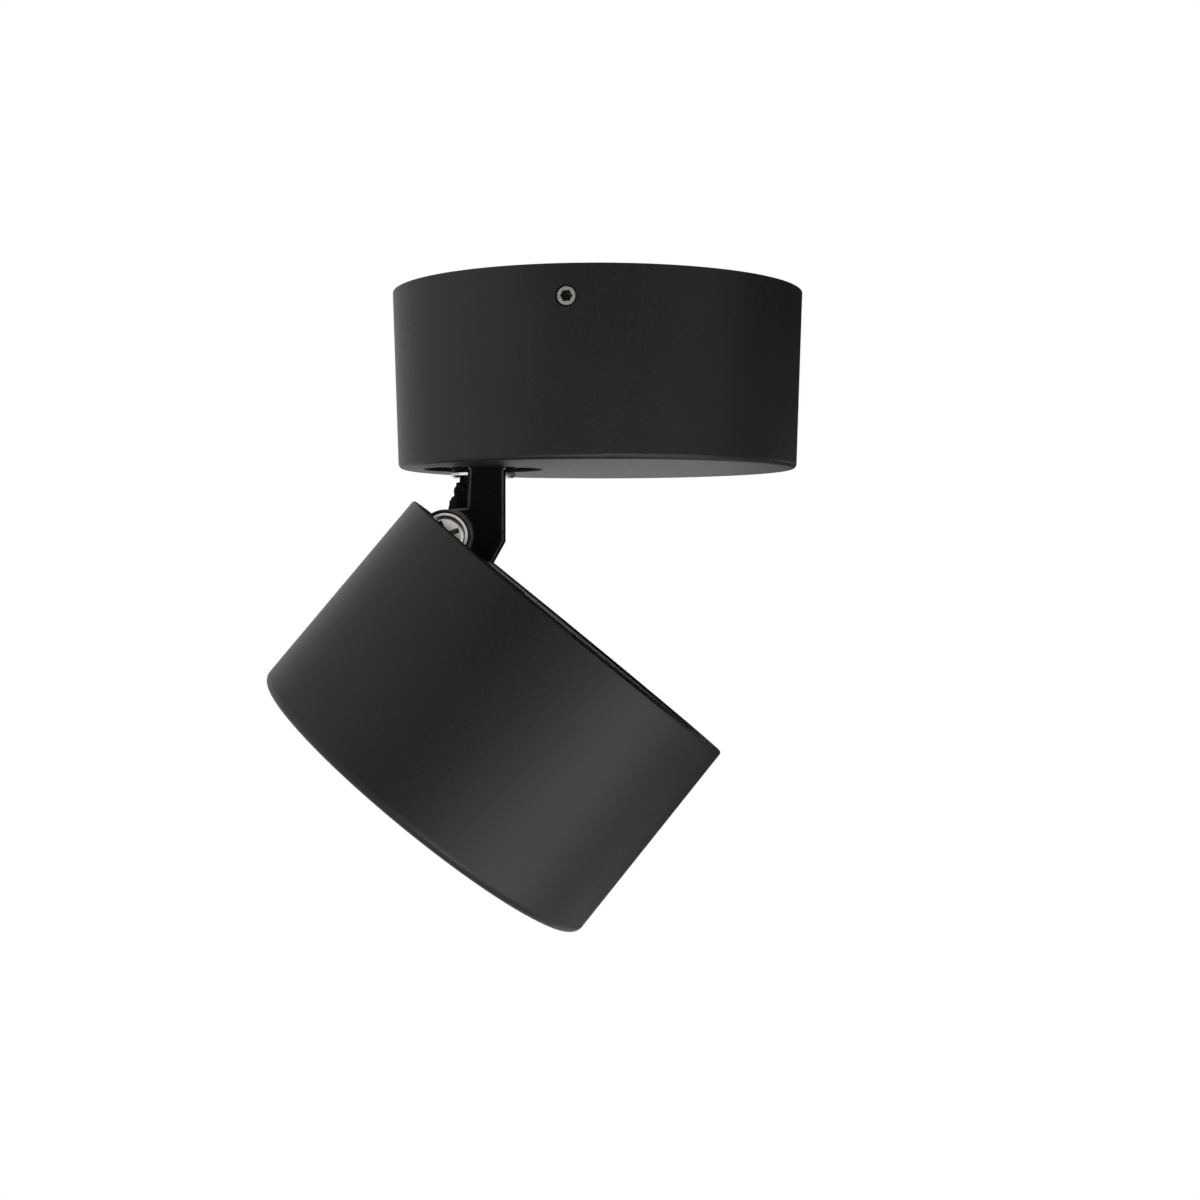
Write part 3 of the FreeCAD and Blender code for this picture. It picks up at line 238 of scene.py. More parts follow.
class Shader(Graph):
    """A node material under construction, with the textures that the finishes share."""

    def __init__(self, name: str) -> None:
        """Start an empty node material of this name."""
        self.material = bpy.data.materials.new(name)
        self.material.use_nodes = True
        super().__init__(self.material.node_tree)

    def place(self) -> Signal:
        """Object coordinates."""
        return self.signal("ShaderNodeTexCoord", {}, {}, "Object")

    def direction(self) -> Signal:
        """The way that a face looks, in object axes."""
        return self.signal("ShaderNodeTexCoord", {}, {}, "Normal")

    def split(self, vector: Signal) -> tuple[Signal, ...]:
        """A vector's three parts."""
        parts = self.node("ShaderNodeSeparateXYZ", {}, {"Vector": vector})
        return tuple(Signal(self, output) for output in parts.outputs)

    def grain(self, size: float, detail: float = 2.0) -> Signal:
        """Noise whose cells are about this size.

        Args:
            size: The size of a cell, in metres.
            detail: How many finer octaves are added.

        Returns:
            The noise, from 0 to 1.
        """
        inputs = {"Vector": self.place(), "Scale": 1.0 / size, "Detail": detail, "Roughness": 0.55}
        return self.signal("ShaderNodeTexNoise", {}, inputs, "Fac")

    def cells(self, size: float, output: str = "Distance") -> Signal:
        """Voronoi cells of about this size."""
        inputs = {"Vector": self.place(), "Scale": 1.0 / size}
        return self.signal("ShaderNodeTexVoronoi", {}, inputs, output)

    def blend(self, share: Signal, first: Colour, second: Colour | Signal) -> Signal:
        """Mix two colours.

        Args:
            share: The second colour's share, from 0 to 1.
            first: The colour at a share of 0.
            second: The colour at a share of 1.

        Returns:
            The mixed colour.
        """
        other = second if isinstance(second, Signal) else rgba(second)
        inputs = {"Factor": share, 6: rgba(first), 7: other}
        return self.signal("ShaderNodeMix", {"data_type": "RGBA"}, inputs, 2)

    def bump(self, height: Signal, depth: float, strength: float) -> Signal:
        """Turn a height from 0 to 1 into a normal.

        Args:
            height: The height.
            depth: What a height of 1 stands for, in metres.
            strength: The share of the effect that is used.

        Returns:
            The normal.
        """
        inputs = {"Height": height, "Distance": depth, "Strength": strength}
        return self.signal("ShaderNodeBump", {}, inputs, "Normal")

    def edge_wear_and_highlight(self, radius: float, threshold: float) -> Signal:
        """One along the sharp edges of a piece, and zero on its flat faces.

        Args:
            radius: How far from the edge the mask reaches, in metres.
            threshold: How far the bevelled direction departs from the face's own where the mask is full.

        Returns:
            The edge mask, from 0 to 1: edge wear on the powder coat, a painted highlight line on the arm's
                lacquer.
        """
        bevelled = self.signal("ShaderNodeBevel", {"samples": 4}, {"Radius": radius}, "Normal")
        plain = self.signal("ShaderNodeNewGeometry", {}, {}, "Normal")
        inputs = {0: bevelled, 1: plain}
        facing = self.signal("ShaderNodeVectorMath", {"operation": "DOT_PRODUCT"}, inputs, "Value")
        return facing.span(1.0 - threshold, 1.0, 1.0, 0.0)

    def rough(self, pattern: Signal, middle: float, swing: Range) -> Signal:
        """A roughness that follows a pattern.

        Args:
            pattern: The pattern, as noise from 0 to 1.
            middle: The roughness that the swing is added to.
            swing: What is added where the pattern is low and where it is high.

        Returns:
            The roughness.
        """
        return pattern.span(*MIDDLE, middle + swing[0], middle + swing[1])

    def open_share(self, reach: float) -> Signal:
        """How open a place is: one out on a face, near zero deep in a socket narrower than the reach."""
        inputs = {"Distance": reach}
        return self.signal("ShaderNodeAmbientOcclusion", {"samples": 12, "only_local": True}, inputs, "AO")

    def finish(self, **sockets: Any) -> bpy.types.Material:
        """Close the material with one principled shader.

        Args:
            sockets: Values or signals by the shader's input names, with underscores for spaces.

        Returns:
            The material.
        """
        inputs = {key.replace("_", " "): value for key, value in sockets.items()}
        surface = self.node("ShaderNodeBsdfPrincipled", {}, inputs)
        self.node("ShaderNodeOutputMaterial", {}, {"Surface": surface.outputs["BSDF"]})
        return self.material


@dataclass(frozen=True)
class PowderCoat:
    """Black powder coat: a fine sandy grain, faintly cloudy, a little brighter where an edge is thin."""

    name: str
    colour: Colour = (0.0045, 0.0042, 0.0044)
    lighter: Colour = (0.013, 0.0123, 0.0127)
    roughness: float = 0.47
    swing: Range = (-0.05, 0.07)
    specular: float = 0.17
    sand_size: float = 0.00042
    sand_depth: float = 0.00002
    sand_relief: float = 0.55
    sand_window: Range = (0.38, 0.72)
    sand_share: float = 0.45
    cloud_size: float = 0.018
    cloud_share: float = 0.18
    patch_size: float = 0.0012
    patch_window: Range = (0.35, 0.75)
    edge_radius: float = 0.00035
    edge_threshold: float = 0.10
    edge_share: float = 0.35

    def material(self) -> bpy.types.Material:
        """Build the finish."""
        shader = Shader(self.name)
        sand = shader.grain(self.sand_size, detail=3.0)
        cloud = shader.grain(self.cloud_size, detail=1.0)
        patches = shader.grain(self.patch_size).span(*self.patch_window)
        worn = shader.edge_wear_and_highlight(self.edge_radius, self.edge_threshold) * patches
        sandy = sand.span(*self.sand_window) * self.sand_share
        share = sandy + cloud.span(*MIDDLE) * self.cloud_share
        colour = shader.blend(share + worn * self.edge_share, self.colour, self.lighter)
        rough = shader.rough(sand, self.roughness, self.swing)
        normal = shader.bump(sand, self.sand_depth, self.sand_relief)
        return shader.finish(
            Base_Color=colour, Roughness=rough, Normal=normal, Specular_IOR_Level=self.specular
        )


@dataclass(frozen=True)
class ArmCoat:
    """The arm's satin black lacquer: near black, with a painted highlight line along the edges of its flat
    sides.
    """

    name: str
    colour: Colour = (0.0012, 0.0012, 0.0013)
    edge: Colour = (0.26, 0.25, 0.26)
    roughness: float = 0.5
    swing: Range = (-0.05, 0.05)
    specular: float = 0.06
    peel_size: float = 0.0006
    peel_depth: float = 0.00001
    peel_relief: float = 0.5
    peel_window: Range = (0.5, 0.9)
    peel_share: float = 0.02
    patch_size: float = 0.0016
    patch_window: Range = (0.35, 0.6)
    edge_radius: float = 0.0007
    edge_threshold: float = 0.012
    side_limit: float = 0.95
    least_highlight: float = 0.6

    def material(self) -> bpy.types.Material:
        """Build the finish."""
        shader = Shader(self.name)
        peel = shader.grain(self.peel_size)
        patches = shader.grain(self.patch_size, detail=3.0).span(*self.patch_window)
        # Painted highlight: the edges of the faces that look along Y get a light line, stronger in patches,
        # standing in for the edge glint.
        side = abs(shader.split(shader.direction())[1]).above(self.side_limit)
        highlight_strength = patches * (1.0 - self.least_highlight) + self.least_highlight
        edges = shader.edge_wear_and_highlight(self.edge_radius, self.edge_threshold) * side * highlight_strength
        peeled = peel.span(*self.peel_window) * self.peel_share
        colour = shader.blend(edges + peeled, self.colour, self.edge)
        rough = shader.rough(peel, self.roughness, self.swing)
        normal = shader.bump(peel, self.peel_depth, self.peel_relief)
        return shader.finish(
            Base_Color=colour, Roughness=rough, Normal=normal, Specular_IOR_Level=self.specular
        )


@dataclass(frozen=True)
class Metal:
    """Plated or bare metal: turning marks, faint stains, a soft polish and painted shade in sockets and
    narrow gaps.
    """

    name: str
    colour: Colour
    stain: Colour
    roughness: float
    mark_size: float = 0.00022
    mark_depth: float = 0.000006
    mark_relief: float = 0.5
    swing: Range = (-0.06, 0.12)
    stain_size: float = 0.0035
    stain_window: Range = (0.45, 0.75)
    stain_share: float = 0.55
    shade: Colour = (0.012, 0.012, 0.012)
    shade_reach: float = 0.0022
    shade_window: Range = (0.30, 0.75)

    def material(self) -> bpy.types.Material:
        """Build the finish."""
        shader = Shader(self.name)
        marks = shader.grain(self.mark_size)
        stain = shader.grain(self.stain_size, detail=3.0)
        stained = stain.span(*self.stain_window) * self.stain_share
        plate = shader.blend(stained, self.colour, self.stain)
        # Painted shade: where ambient occlusion finds a socket or narrow gap, the colour darkens towards
        # the shade colour.
        lit = shader.open_share(self.shade_reach).span(*self.shade_window)
        colour = shader.blend(lit, self.shade, plate)
        rough = shader.rough(marks, self.roughness, self.swing)
        normal = shader.bump(marks, self.mark_depth, self.mark_relief)
        return shader.finish(Base_Color=colour, Metallic=1.0, Roughness=rough, Normal=normal)


@dataclass(frozen=True)
class Moulded:
    """A moulded plastic or rubber: spark-eroded grain and slow colour drift."""

    name: str
    colour: Colour
    drift: Colour
    roughness: float
    grain_size: float = 0.0003
    grain_depth: float = 0.00001
    grain_relief: float = 0.6
    grain_window: Range = (0.4, 0.7)
    grain_share: float = 0.15
    swing: Range = (-0.05, 0.08)
    drift_size: float = 0.009
    drift_window: Range = (0.35, 0.7)
    drift_share: float = 0.7

    def material(self) -> bpy.types.Material:
        """Build the finish."""
        shader = Shader(self.name)
        grain = shader.grain(self.grain_size)
        drift = shader.grain(self.drift_size)
        drifted = drift.span(*self.drift_window) * self.drift_share
        grained = grain.span(*self.grain_window) * self.grain_share
        colour = shader.blend(drifted + grained, self.colour, self.drift)
        rough = shader.rough(grain, self.roughness, self.swing)
        normal = shader.bump(grain, self.grain_depth, self.grain_relief)
        return shader.finish(Base_Color=colour, Roughness=rough, Normal=normal)


@dataclass(frozen=True)
class TwinWire:
    """Insulation in two colours, parted where the frame's X passes a middle value."""

    name: str
    low_side: Colour
    high_side: Colour
    middle: float
    width: float
    gloss_size: float = 0.0006
    gloss_depth: float = 0.00001
    gloss_relief: float = 0.4
    roughness: Range = (0.28, 0.42)

    def material(self) -> bpy.types.Material:
        """Build the finish."""
        shader = Shader(self.name)
        across = shader.split(shader.place())[0]
        share = ((across - self.middle) / self.width).span(-0.5, 0.5)
        gloss = shader.grain(self.gloss_size)
        colour = shader.blend(share, self.low_side, self.high_side)
        rough = gloss.span(*MIDDLE, *self.roughness)
        normal = shader.bump(gloss, self.gloss_depth, self.gloss_relief)
        return shader.finish(Base_Color=colour, Roughness=rough, Normal=normal)


@dataclass(frozen=True)
class CircuitBoard:
    """Solder resist with tinned areas and round pads in irregular cells."""

    name: str
    resist: Colour
    tin: Colour
    pitch: float = 0.0016
    pad_pitch: float = 2.3
    pad_edge: Range = (0.16, 0.12)
    bare_limit: float = 0.62
    area_share: float = 0.35
    raised: float = 0.00003
    relief: float = 0.6
    gloss_size: float = 0.0008
    roughness: Range = (0.25, 0.4)

    def material(self) -> bpy.types.Material:
        """Build the finish."""
        shader = Shader(self.name)
        areas = shader.cells(self.pitch, "Color")
        pads = shader.cells(self.pitch * self.pad_pitch).span(*self.pad_edge)
        chance = shader.signal("ShaderNodeSeparateColor", {}, {"Color": areas}, 0)
        tinned = chance.above(self.bare_limit) * self.area_share + pads
        colour = shader.blend(tinned.span(0.0, 1.0), self.resist, self.tin)
        rough = shader.grain(self.gloss_size).span(*MIDDLE, *self.roughness)
        normal = shader.bump(tinned, self.raised, self.relief)
        return shader.finish(Base_Color=colour, Roughness=rough, Normal=normal)


@dataclass(frozen=True)
class Braid:
    """A braided sleeve: crossed strands that read the piece's own UV map, with a painted sheen on the
    strand crests.
    """

    name: str
    colour: Colour = (0.0012, 0.0012, 0.0013)
    raised: Colour = (0.010, 0.0098, 0.0102)
    raised_from: float = 0.55
    roughness: Range = (0.9, 0.7)
    specular: float = 0.08
    around: float = 20.0
    along: float = 46.0
    strand_depth: float = 0.00012
    strand_relief: float = 0.8

    def material(self) -> bpy.types.Material:
        """Build the finish."""
        shader = Shader(self.name)
        flat = shader.signal("ShaderNodeUVMap", {"uv_map": "UVMap"}, {}, "UV")
        parts = shader.split(flat)
        turn = parts[0] * (self.around * math.pi)
        run = parts[1] * (self.along * math.pi)
        weave = abs((turn + run).sine()).larger(abs((turn - run).sine()))
        # Painted sheen: the strand crests get the lighter colour, and the hollows between them stay dark as
        # painted shade.
        colour = shader.blend(weave.span(self.raised_from, 1.0), self.colour, self.raised)
        rough = weave.span(0.0, 1.0, *self.roughness)
        normal = shader.bump(weave, self.strand_depth, self.strand_relief)
        return shader.finish(
            Base_Color=colour, Roughness=rough, Normal=normal, Specular_IOR_Level=self.specular
        )


@dataclass(frozen=True)
class Phosphor:
    """The emitter's phosphor: yellow silicone over faint dice, unlit."""

    name: str
    colour: Colour = (0.83, 0.56, 0.05)
    dark: Colour = (0.55, 0.33, 0.03)
    die_size: float = 0.0012
    die_window: Range = (0.15, 0.5)
    ripple_size: float = 0.002
    ripple_depth: float = 0.00006
    ripple_relief: float = 0.5
    gloss_size: float = 0.003
    roughness: Range = (0.3, 0.45)

    def material(self) -> bpy.types.Material:
        """Build the finish."""
        shader = Shader(self.name)
        dice = shader.cells(self.die_size)
        colour = shader.blend(dice.span(*self.die_window), self.dark, self.colour)
        rough = shader.grain(self.gloss_size).span(*MIDDLE, *self.roughness)
        normal = shader.bump(shader.grain(self.ripple_size), self.ripple_depth, self.ripple_relief)
        return shader.finish(Base_Color=colour, Roughness=rough, Normal=normal)


@dataclass(frozen=True)
class ClearPane:
    """Clear glass or silicone, see-through through its alpha, with faint haze and dust."""

    name: str
    colour: Colour
    alpha: float
    roughness: float = 0.06
    rough_shares: Range = (0.6, 1.6)
    specular: float = 0.6
    haze_size: float = 0.014
    haze_shade: float = 0.9
    haze_depth: float = 0.00002
    haze_relief: float = 0.25
    dust_size: float = 0.0011
    dust_window: Range = (0.55, 0.85)
    dust_share: float = 0.06

    def material(self) -> bpy.types.Material:
        """Build the finish."""
        shader = Shader(self.name)
        dust = shader.grain(self.dust_size, detail=4.0).span(*self.dust_window)
        haze = shader.grain(self.haze_size)
        hazy = tuple(self.haze_shade * part for part in self.colour)
        colour = shader.blend(haze.span(*MIDDLE), self.colour, hazy)
        alpha = dust * self.dust_share + self.alpha
        rough = haze.span(*MIDDLE, *(self.roughness * share for share in self.rough_shares))
        normal = shader.bump(haze, self.haze_depth, self.haze_relief)
        return shader.finish(
            Base_Color=colour, Roughness=rough, Alpha=alpha, Normal=normal, Specular_IOR_Level=self.specular
        )


def painted_finishes() -> list[PowderCoat | ArmCoat | Braid]:
    """The black finishes of the outside."""
    return [
        PowderCoat("black_powder_coat"),
        ArmCoat("black_arm_coat"),
        PowderCoat(
            "black_screw",
            colour=(0.006, 0.006, 0.006),
            lighter=(0.02, 0.02, 0.02),
            roughness=0.38,
            sand_size=0.0002,
        ),
        Braid("braided_sleeve"),
    ]


def metal_finishes() -> list[Metal]:
    """The plated and bare metals."""
    return [
        Metal("zinc_steel", (0.40, 0.41, 0.42), (0.29, 0.295, 0.29), 0.36),
        Metal("nickel_steel", (0.56, 0.54, 0.51), (0.30, 0.285, 0.26), 0.2),
        Metal("brass", (0.76, 0.70, 0.52), (0.58, 0.50, 0.33), 0.3),
        Metal("bare_aluminium", (0.80, 0.80, 0.81), (0.66, 0.66, 0.68), 0.36, 0.0004),
        Metal("bright_reflector", (0.90, 0.90, 0.91), (0.84, 0.84, 0.86), 0.10, 0.0008),
    ]


def moulded_finishes() -> list[Moulded]:
    """The plastics, rubbers and other moulded stuff."""
    return [
        Moulded("black_rubber", (0.012, 0.012, 0.012), (0.022, 0.022, 0.022), 0.7, 0.0006),
        Moulded("black_plastic", (0.014, 0.014, 0.015), (0.022, 0.022, 0.023), 0.45),
        Moulded("black_baffle", (0.009, 0.009, 0.0095), (0.015, 0.015, 0.0155), 0.55, 0.0004, 0.00003),
        Moulded("black_lead", (0.013, 0.013, 0.013), (0.02, 0.02, 0.02), 0.4, 0.0007),
        Moulded("white_plastic", (0.78, 0.77, 0.73), (0.70, 0.69, 0.64), 0.42),
        Moulded("driver_plastic", (0.72, 0.72, 0.70), (0.64, 0.64, 0.62), 0.5, 0.0006, 0.00003),
        Moulded("nylon", (0.74, 0.72, 0.64), (0.66, 0.63, 0.54), 0.4),
        Moulded("transformer_tape", (0.72, 0.55, 0.06), (0.62, 0.45, 0.05), 0.35, 0.0012),
        Moulded("capacitor_sleeve", (0.012, 0.014, 0.03), (0.02, 0.02, 0.045), 0.28, 0.0009),
        Moulded("ferrite", (0.05, 0.045, 0.045), (0.10, 0.06, 0.04), 0.5, 0.0005, 0.00004),
        Moulded("thermal_silicone", (0.30, 0.33, 0.40), (0.26, 0.28, 0.34), 0.8, 0.0004),
    ]


def inner_finishes() -> list[TwinWire | CircuitBoard | Phosphor | ClearPane]:
    """The wires, boards, light source and clear parts."""
    return [
        TwinWire("green_yellow_wire", (0.05, 0.28, 0.04), (0.75, 0.60, 0.03), 0.0245, 0.0006),
        TwinWire("blue_brown_wire", (0.16, 0.06, 0.025), (0.02, 0.08, 0.42), 0.0112, 0.0004),
        CircuitBoard("circuit_board", (0.02, 0.14, 0.05), (0.30, 0.40, 0.16)),
        CircuitBoard("white_board", (0.80, 0.80, 0.78), (0.62, 0.60, 0.52), 0.0021),
        Phosphor("phosphor"),
        ClearPane("clear_glass", (0.93, 0.96, 0.96), 0.16),
        ClearPane("clear_silicone", (0.80, 0.80, 0.78), 0.6, 0.4),
    ]


def finishes() -> dict[str, bpy.types.Material]:
    """Every finish of the record, by material slot."""
    made = [*painted_finishes(), *metal_finishes(), *moulded_finishes(), *inner_finishes()]
    return {finish.name: finish.material() for finish in made}


def dress_nodes(coats: Mapping[str, bpy.types.Material]) -> None:
    """Give every node of the frame the finish of its slot.

    Args:
        coats: The finishes by slot.
    """
    for entry in frame["record"]["subparts"]:
        node = frame["nodes"][entry["node"]]
        for slot in node.material_slots:
            slot.material = coats[entry["material_slot"]]
        LOG.info("node %s: %s", entry["node"], entry["material_slot"])


class Mesh:
    """A bmesh under construction that ends as one piece or one part of the studio."""

    def __init__(self) -> None:
        """Start an empty mesh."""
        self.bm = bmesh.new()

    def sheet(self, columns: int, rows: int, place: Callable[[float, float], Vector]) -> "Mesh":
        """Add a grid with a UV map, and put each of its points in place.

        Args:
            columns: Faces across.
            rows: Faces along.
            place: Gives a point's place from its two shares, each from 0 to 1.

        Returns:
            This mesh.
        """
        self.bm.loops.layers.uv.new("UVMap")
        made = bmesh.ops.create_grid(self.bm, x_segments=columns, y_segments=rows, size=1.0, calc_uvs=True)
        for vertex in made["verts"]:
            vertex.co = place((vertex.co.x + 1.0) / 2.0, (vertex.co.y + 1.0) / 2.0)
        return self

    def joined(self, gap: float) -> "Mesh":
        """Weld points that lie within a gap, and turn every face outward."""
        bmesh.ops.remove_doubles(self.bm, verts=self.bm.verts, dist=gap)
        bmesh.ops.recalc_face_normals(self.bm, faces=self.bm.faces)
        return self

    def capped(self) -> "Mesh":
        """Close every open end."""
        edges = [edge for edge in self.bm.edges if edge.is_boundary]
        bmesh.ops.holes_fill(self.bm, edges=edges, sides=0)
        bmesh.ops.recalc_face_normals(self.bm, faces=self.bm.faces)
        return self

    def moved(self, matrix: Matrix) -> "Mesh":
        """Transform the whole mesh."""
        bmesh.ops.transform(self.bm, matrix=matrix, verts=self.bm.verts)
        return self

    def square(self, side: float) -> "Mesh":
        """Add one level square, centred on the origin."""
        bmesh.ops.create_grid(self.bm, x_segments=1, y_segments=1, size=side / 2)
        return self

    def linked(self, name: str, coat: bpy.types.Material) -> bpy.types.Object:
        """Put the mesh in the scene as an object.

        Args:
            name: The object's name.
            coat: The finish.

        Returns:
            The object.
        """
        data = bpy.data.meshes.new(name)
        self.bm.to_mesh(data)
        self.bm.free()
        data.materials.append(coat)
        made = bpy.data.objects.new(name, data)
        bpy.context.scene.collection.objects.link(made)
        return made

    def scenery(self, name: str, coat: bpy.types.Material) -> bpy.types.Object:
        """Close the mesh as a part of the studio.

        Args:
            name: The object's name.
            coat: The finish.

        Returns:
            The object.
        """
        made = self.linked(name, coat)
        made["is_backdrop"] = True
        return made

    def piece(self, name: str, slot: str, coat: bpy.types.Material, crease: float) -> bpy.types.Object:
        """Close the mesh as a piece of the light.

        Args:
            name: The piece's name.
            slot: The record's material slot; not used.
            coat: The finish.
            crease: The angle above which an edge stays sharp.

        Returns:
            The object.
        """
        made = self.linked(name, coat)
        made.data.shade_smooth()
        made.data.set_sharp_from_angle(angle=crease)
        LOG.info("piece %s: %d faces", name, len(made.data.polygons))
        return made


@dataclass(frozen=True)
class Hinge:
    """The tilt hinge's pin, and the tilt that the frame has at rest."""

    pivot: Place = (-0.0310, 0.0, -0.04945)
    tilt: float = math.radians(39.37)

    def turn(self) -> Matrix:
        """The turn from the closed head to the head at rest."""
        there = Matrix.Translation(self.pivot)
        return there @ Matrix.Rotation(self.tilt, 4, "Y") @ there.inverted()


@dataclass(frozen=True)
class Sleeve:
    """The braided sleeve over the lead that runs beside the arm, from the canopy into the head."""

    outside: tuple[Place, ...] = (
        (-0.0246, 0.0, -0.03745),
        (-0.0254, 0.0, -0.0394),
        (-0.0266, 0.0012, -0.0420),
        (-0.0286, 0.0034, -0.0470),
    )
    inside: tuple[tuple[float, float], ...] = (
        (-0.0264, -0.05125),
        (-0.0220, -0.05605),
        (-0.0125, -0.05605),
    )
    inside_y: float = 0.0036
    spline_steps: int = 32
    spline_order: int = 3
    bend_start: Place = (-0.0270, 0.0014, -0.0425)
    bend_end: Place = (-0.0286, 0.0036, -0.0538)
    radius: float = 0.0030
    flare: float = 0.0006
    flare_fade: float = 14.0
    ruffle: float = 0.00042
    broad_lumps: float = 1.1
    broad_share: float = 1.6
    small_lumps: float = 2.7
    small_share: float = 0.8
    lumps_along: float = 16.0
    folded_length: float = 0.0316
    fold_pitch: float = 0.0017
    fold_wander: float = 2.0
    fold_share: float = 0.8
    thread: float = 0.00007
    threads_around: int = 12
    threads_along: int = 26
    sides: int = 96
    rings: int = 420
    weld_gap: float = 1e-6
    crease: float = math.radians(80)

    def line(self, hinge: Hinge) -> list[Vector]:
        """The sleeve's middle line, as a smooth spline gives it.

        Args:
            hinge: The hinge, which turns the part of the line in the head.

        Returns:
            The points, evenly spaced.
        """
        turn = hinge.turn()
        route = [Vector(point) for point in self.outside]
        route += [turn @ Vector((x, self.inside_y, z)) for x, z in self.inside]
        curve = bpy.data.curves.new("sleeve_line", "CURVE")
        curve.dimensions = "3D"
        curve.resolution_u = self.spline_steps
        spline = curve.splines.new("NURBS")
        spline.points.add(len(route) - 1)
        for knot, point in zip(spline.points, route):
            knot.co = (*point, 1.0)
        spline.order_u = self.spline_order
        spline.use_endpoint_u = True
        holder = bpy.data.objects.new("sleeve_line", curve)
        data = bpy.data.meshes.new_from_object(holder)
        points = [vertex.co.copy() for vertex in data.vertices]
        bpy.data.objects.remove(holder)
        bpy.data.meshes.remove(data)
        return evenly(points, self.rings)

    def bulge(self, around: float, along: float) -> float:
        """How far the sleeve's surface lies from its line.

        Args:
            around: The share of the way round.
            along: The share of the way along.

        Returns:
            The distance, in metres.
        """
        angle = around * math.tau
        where = Vector((math.cos(angle), math.sin(angle), along * self.lumps_along))
        broad = noise.noise(where * self.broad_lumps) * self.ruffle * self.broad_share
        small = noise.noise(where * self.small_lumps) * self.ruffle * self.small_share
        phase = along * self.fold_phase + noise.noise(where) * self.fold_wander
        folds = abs(math.sin(phase)) * self.ruffle * self.fold_share
        weave = self.weave(around, along) * self.thread
        mouth = math.exp(-along * self.flare_fade) * self.flare
        return self.radius + (broad + small) + folds + weave + mouth

    @property
    def fold_phase(self) -> float:
        """The soft folds along the whole sleeve, each as half a turn of a sine."""
        return self.folded_length / self.fold_pitch * math.pi

    def weave(self, around: float, along: float) -> float:
        """How high the braid's crossed threads stand.

        Args:
            around: The share of the way round.
            along: The share of the way along.

        Returns:
            The height, from 0 to 1.
        """
        left = abs(math.sin((around * self.threads_around + along * self.threads_along) * math.pi))
        right = abs(math.sin((around * self.threads_around - along * self.threads_along) * math.pi))
        return max(left, right)

    def build(self, hinge: Hinge, coat: bpy.types.Material) -> bpy.types.Object:
        """Make the sleeve along its route from beside the arm into the head, and hide the frame's
        lead_sleeve node.

        Args:
            hinge: The hinge.
            coat: The braid.

        Returns:
            The object.
        """
        frames = carried_frames(self.line(hinge))

        def place(around: float, along: float) -> Vector:
            """A point of the sleeve's surface."""
            centre, across, over = frames[round(along * self.rings)]
            angle = around * math.tau
            outward = across * math.cos(angle) + over * math.sin(angle)
            return centre + outward * self.bulge(around % 1.0, along)

        mesh = Mesh().sheet(self.sides, self.rings, place).joined(self.weld_gap).capped()
        made = mesh.piece("sleeved_lead", "braided_sleeve", coat, self.crease)
        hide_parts("lead_sleeve")
        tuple(self.bend_start)
        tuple(self.bend_end)
        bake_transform(made)
        return made


def evenly(points: Sequence[Vector], count: int) -> list[Vector]:
    """Points at equal steps along a line.

    Args:
        points: The line.
        count: The number of steps.

    Returns:
        One more point than steps.
    """
    reach = [0.0]
    for first, second in zip(points, points[1:]):
        reach.append(reach[-1] + (second - first).length)
    found = []
    index = 0
    for step in range(count + 1):
        wanted = reach[-1] * step / count
        while index < len(points) - 2 and reach[index + 1] < wanted:
            index += 1
        share = (wanted - reach[index]) / (reach[index + 1] - reach[index])
        found.append(points[index].lerp(points[index + 1], min(share, 1.0)))
    return found


def carried_frames(line: Sequence[Vector]) -> list[tuple[Vector, Vector, Vector]]:
    """A point and two directions across the line at each of its points, carried along without twist.

    Args:
        line: The line's points.

    Returns:
        For each point, itself and the two directions.
    """
    heading = (line[1] - line[0]).normalized()
    across = heading.orthogonal().normalized()
    frames = []
    for index, point in enumerate(line):
        ahead = line[min(index + 1, len(line) - 1)] - line[max(index - 1, 0)]
        turn = heading.rotation_difference(ahead)
        heading = ahead.normalized()
        across = (turn @ across).normalized()
        frames.append((point, across, heading.cross(across).normalized()))
    return frames


@dataclass(frozen=True)
class SoftLamp:
    """A soft box: a flat lamp that faces a point, square unless it has a height of its own."""

    name: str
    place: Place
    side: float
    power: float
    height: float = 0.0

    def build(self, target: Vector) -> bpy.types.Object:
        """Hang the lamp and turn it to the target.

        Args:
            target: The point that it faces.

        Returns:
            The lamp.
        """
        data = bpy.data.lights.new(self.name, "AREA")
        data.shape = "RECTANGLE"
        data.size = self.side
        data.size_y = self.height or self.side
        data.energy = self.power
        lamp = bpy.data.objects.new(self.name, data)
        bpy.context.scene.collection.objects.link(lamp)
        lamp.location = self.place
        lamp.rotation_euler = (target - Vector(self.place)).to_track_quat("-Z", "Y").to_euler()
        return lamp


@dataclass(frozen=True)
class BlackCard:
    """A black felt card, out of the camera's sight, that keeps white out of one side's reflections."""

    name: str
    place: Place
    side: float
    felt: Colour = (0.004, 0.004, 0.004)
    fluff: Colour = (0.008, 0.008, 0.008)
    fluff_size: float = 0.01
    roughness: float = 0.95

    def build(self, target: Vector) -> bpy.types.Object:
        """Stand the card up and turn it to the target.

        Args:
            target: The point that it faces.

        Returns:
            The card.
        """
        shader = Shader(self.name)
        colour = shader.blend(shader.grain(self.fluff_size), self.felt, self.fluff)
        coat = shader.finish(Base_Color=colour, Roughness=self.roughness, Specular_IOR_Level=0.0)
        facing = (target - Vector(self.place)).to_track_quat("Z", "Y").to_matrix().to_4x4()
        mesh = Mesh().square(self.side).moved(Matrix.Translation(self.place) @ facing)
        card = mesh.scenery(self.name, coat)
        card.visible_camera = False
        return card


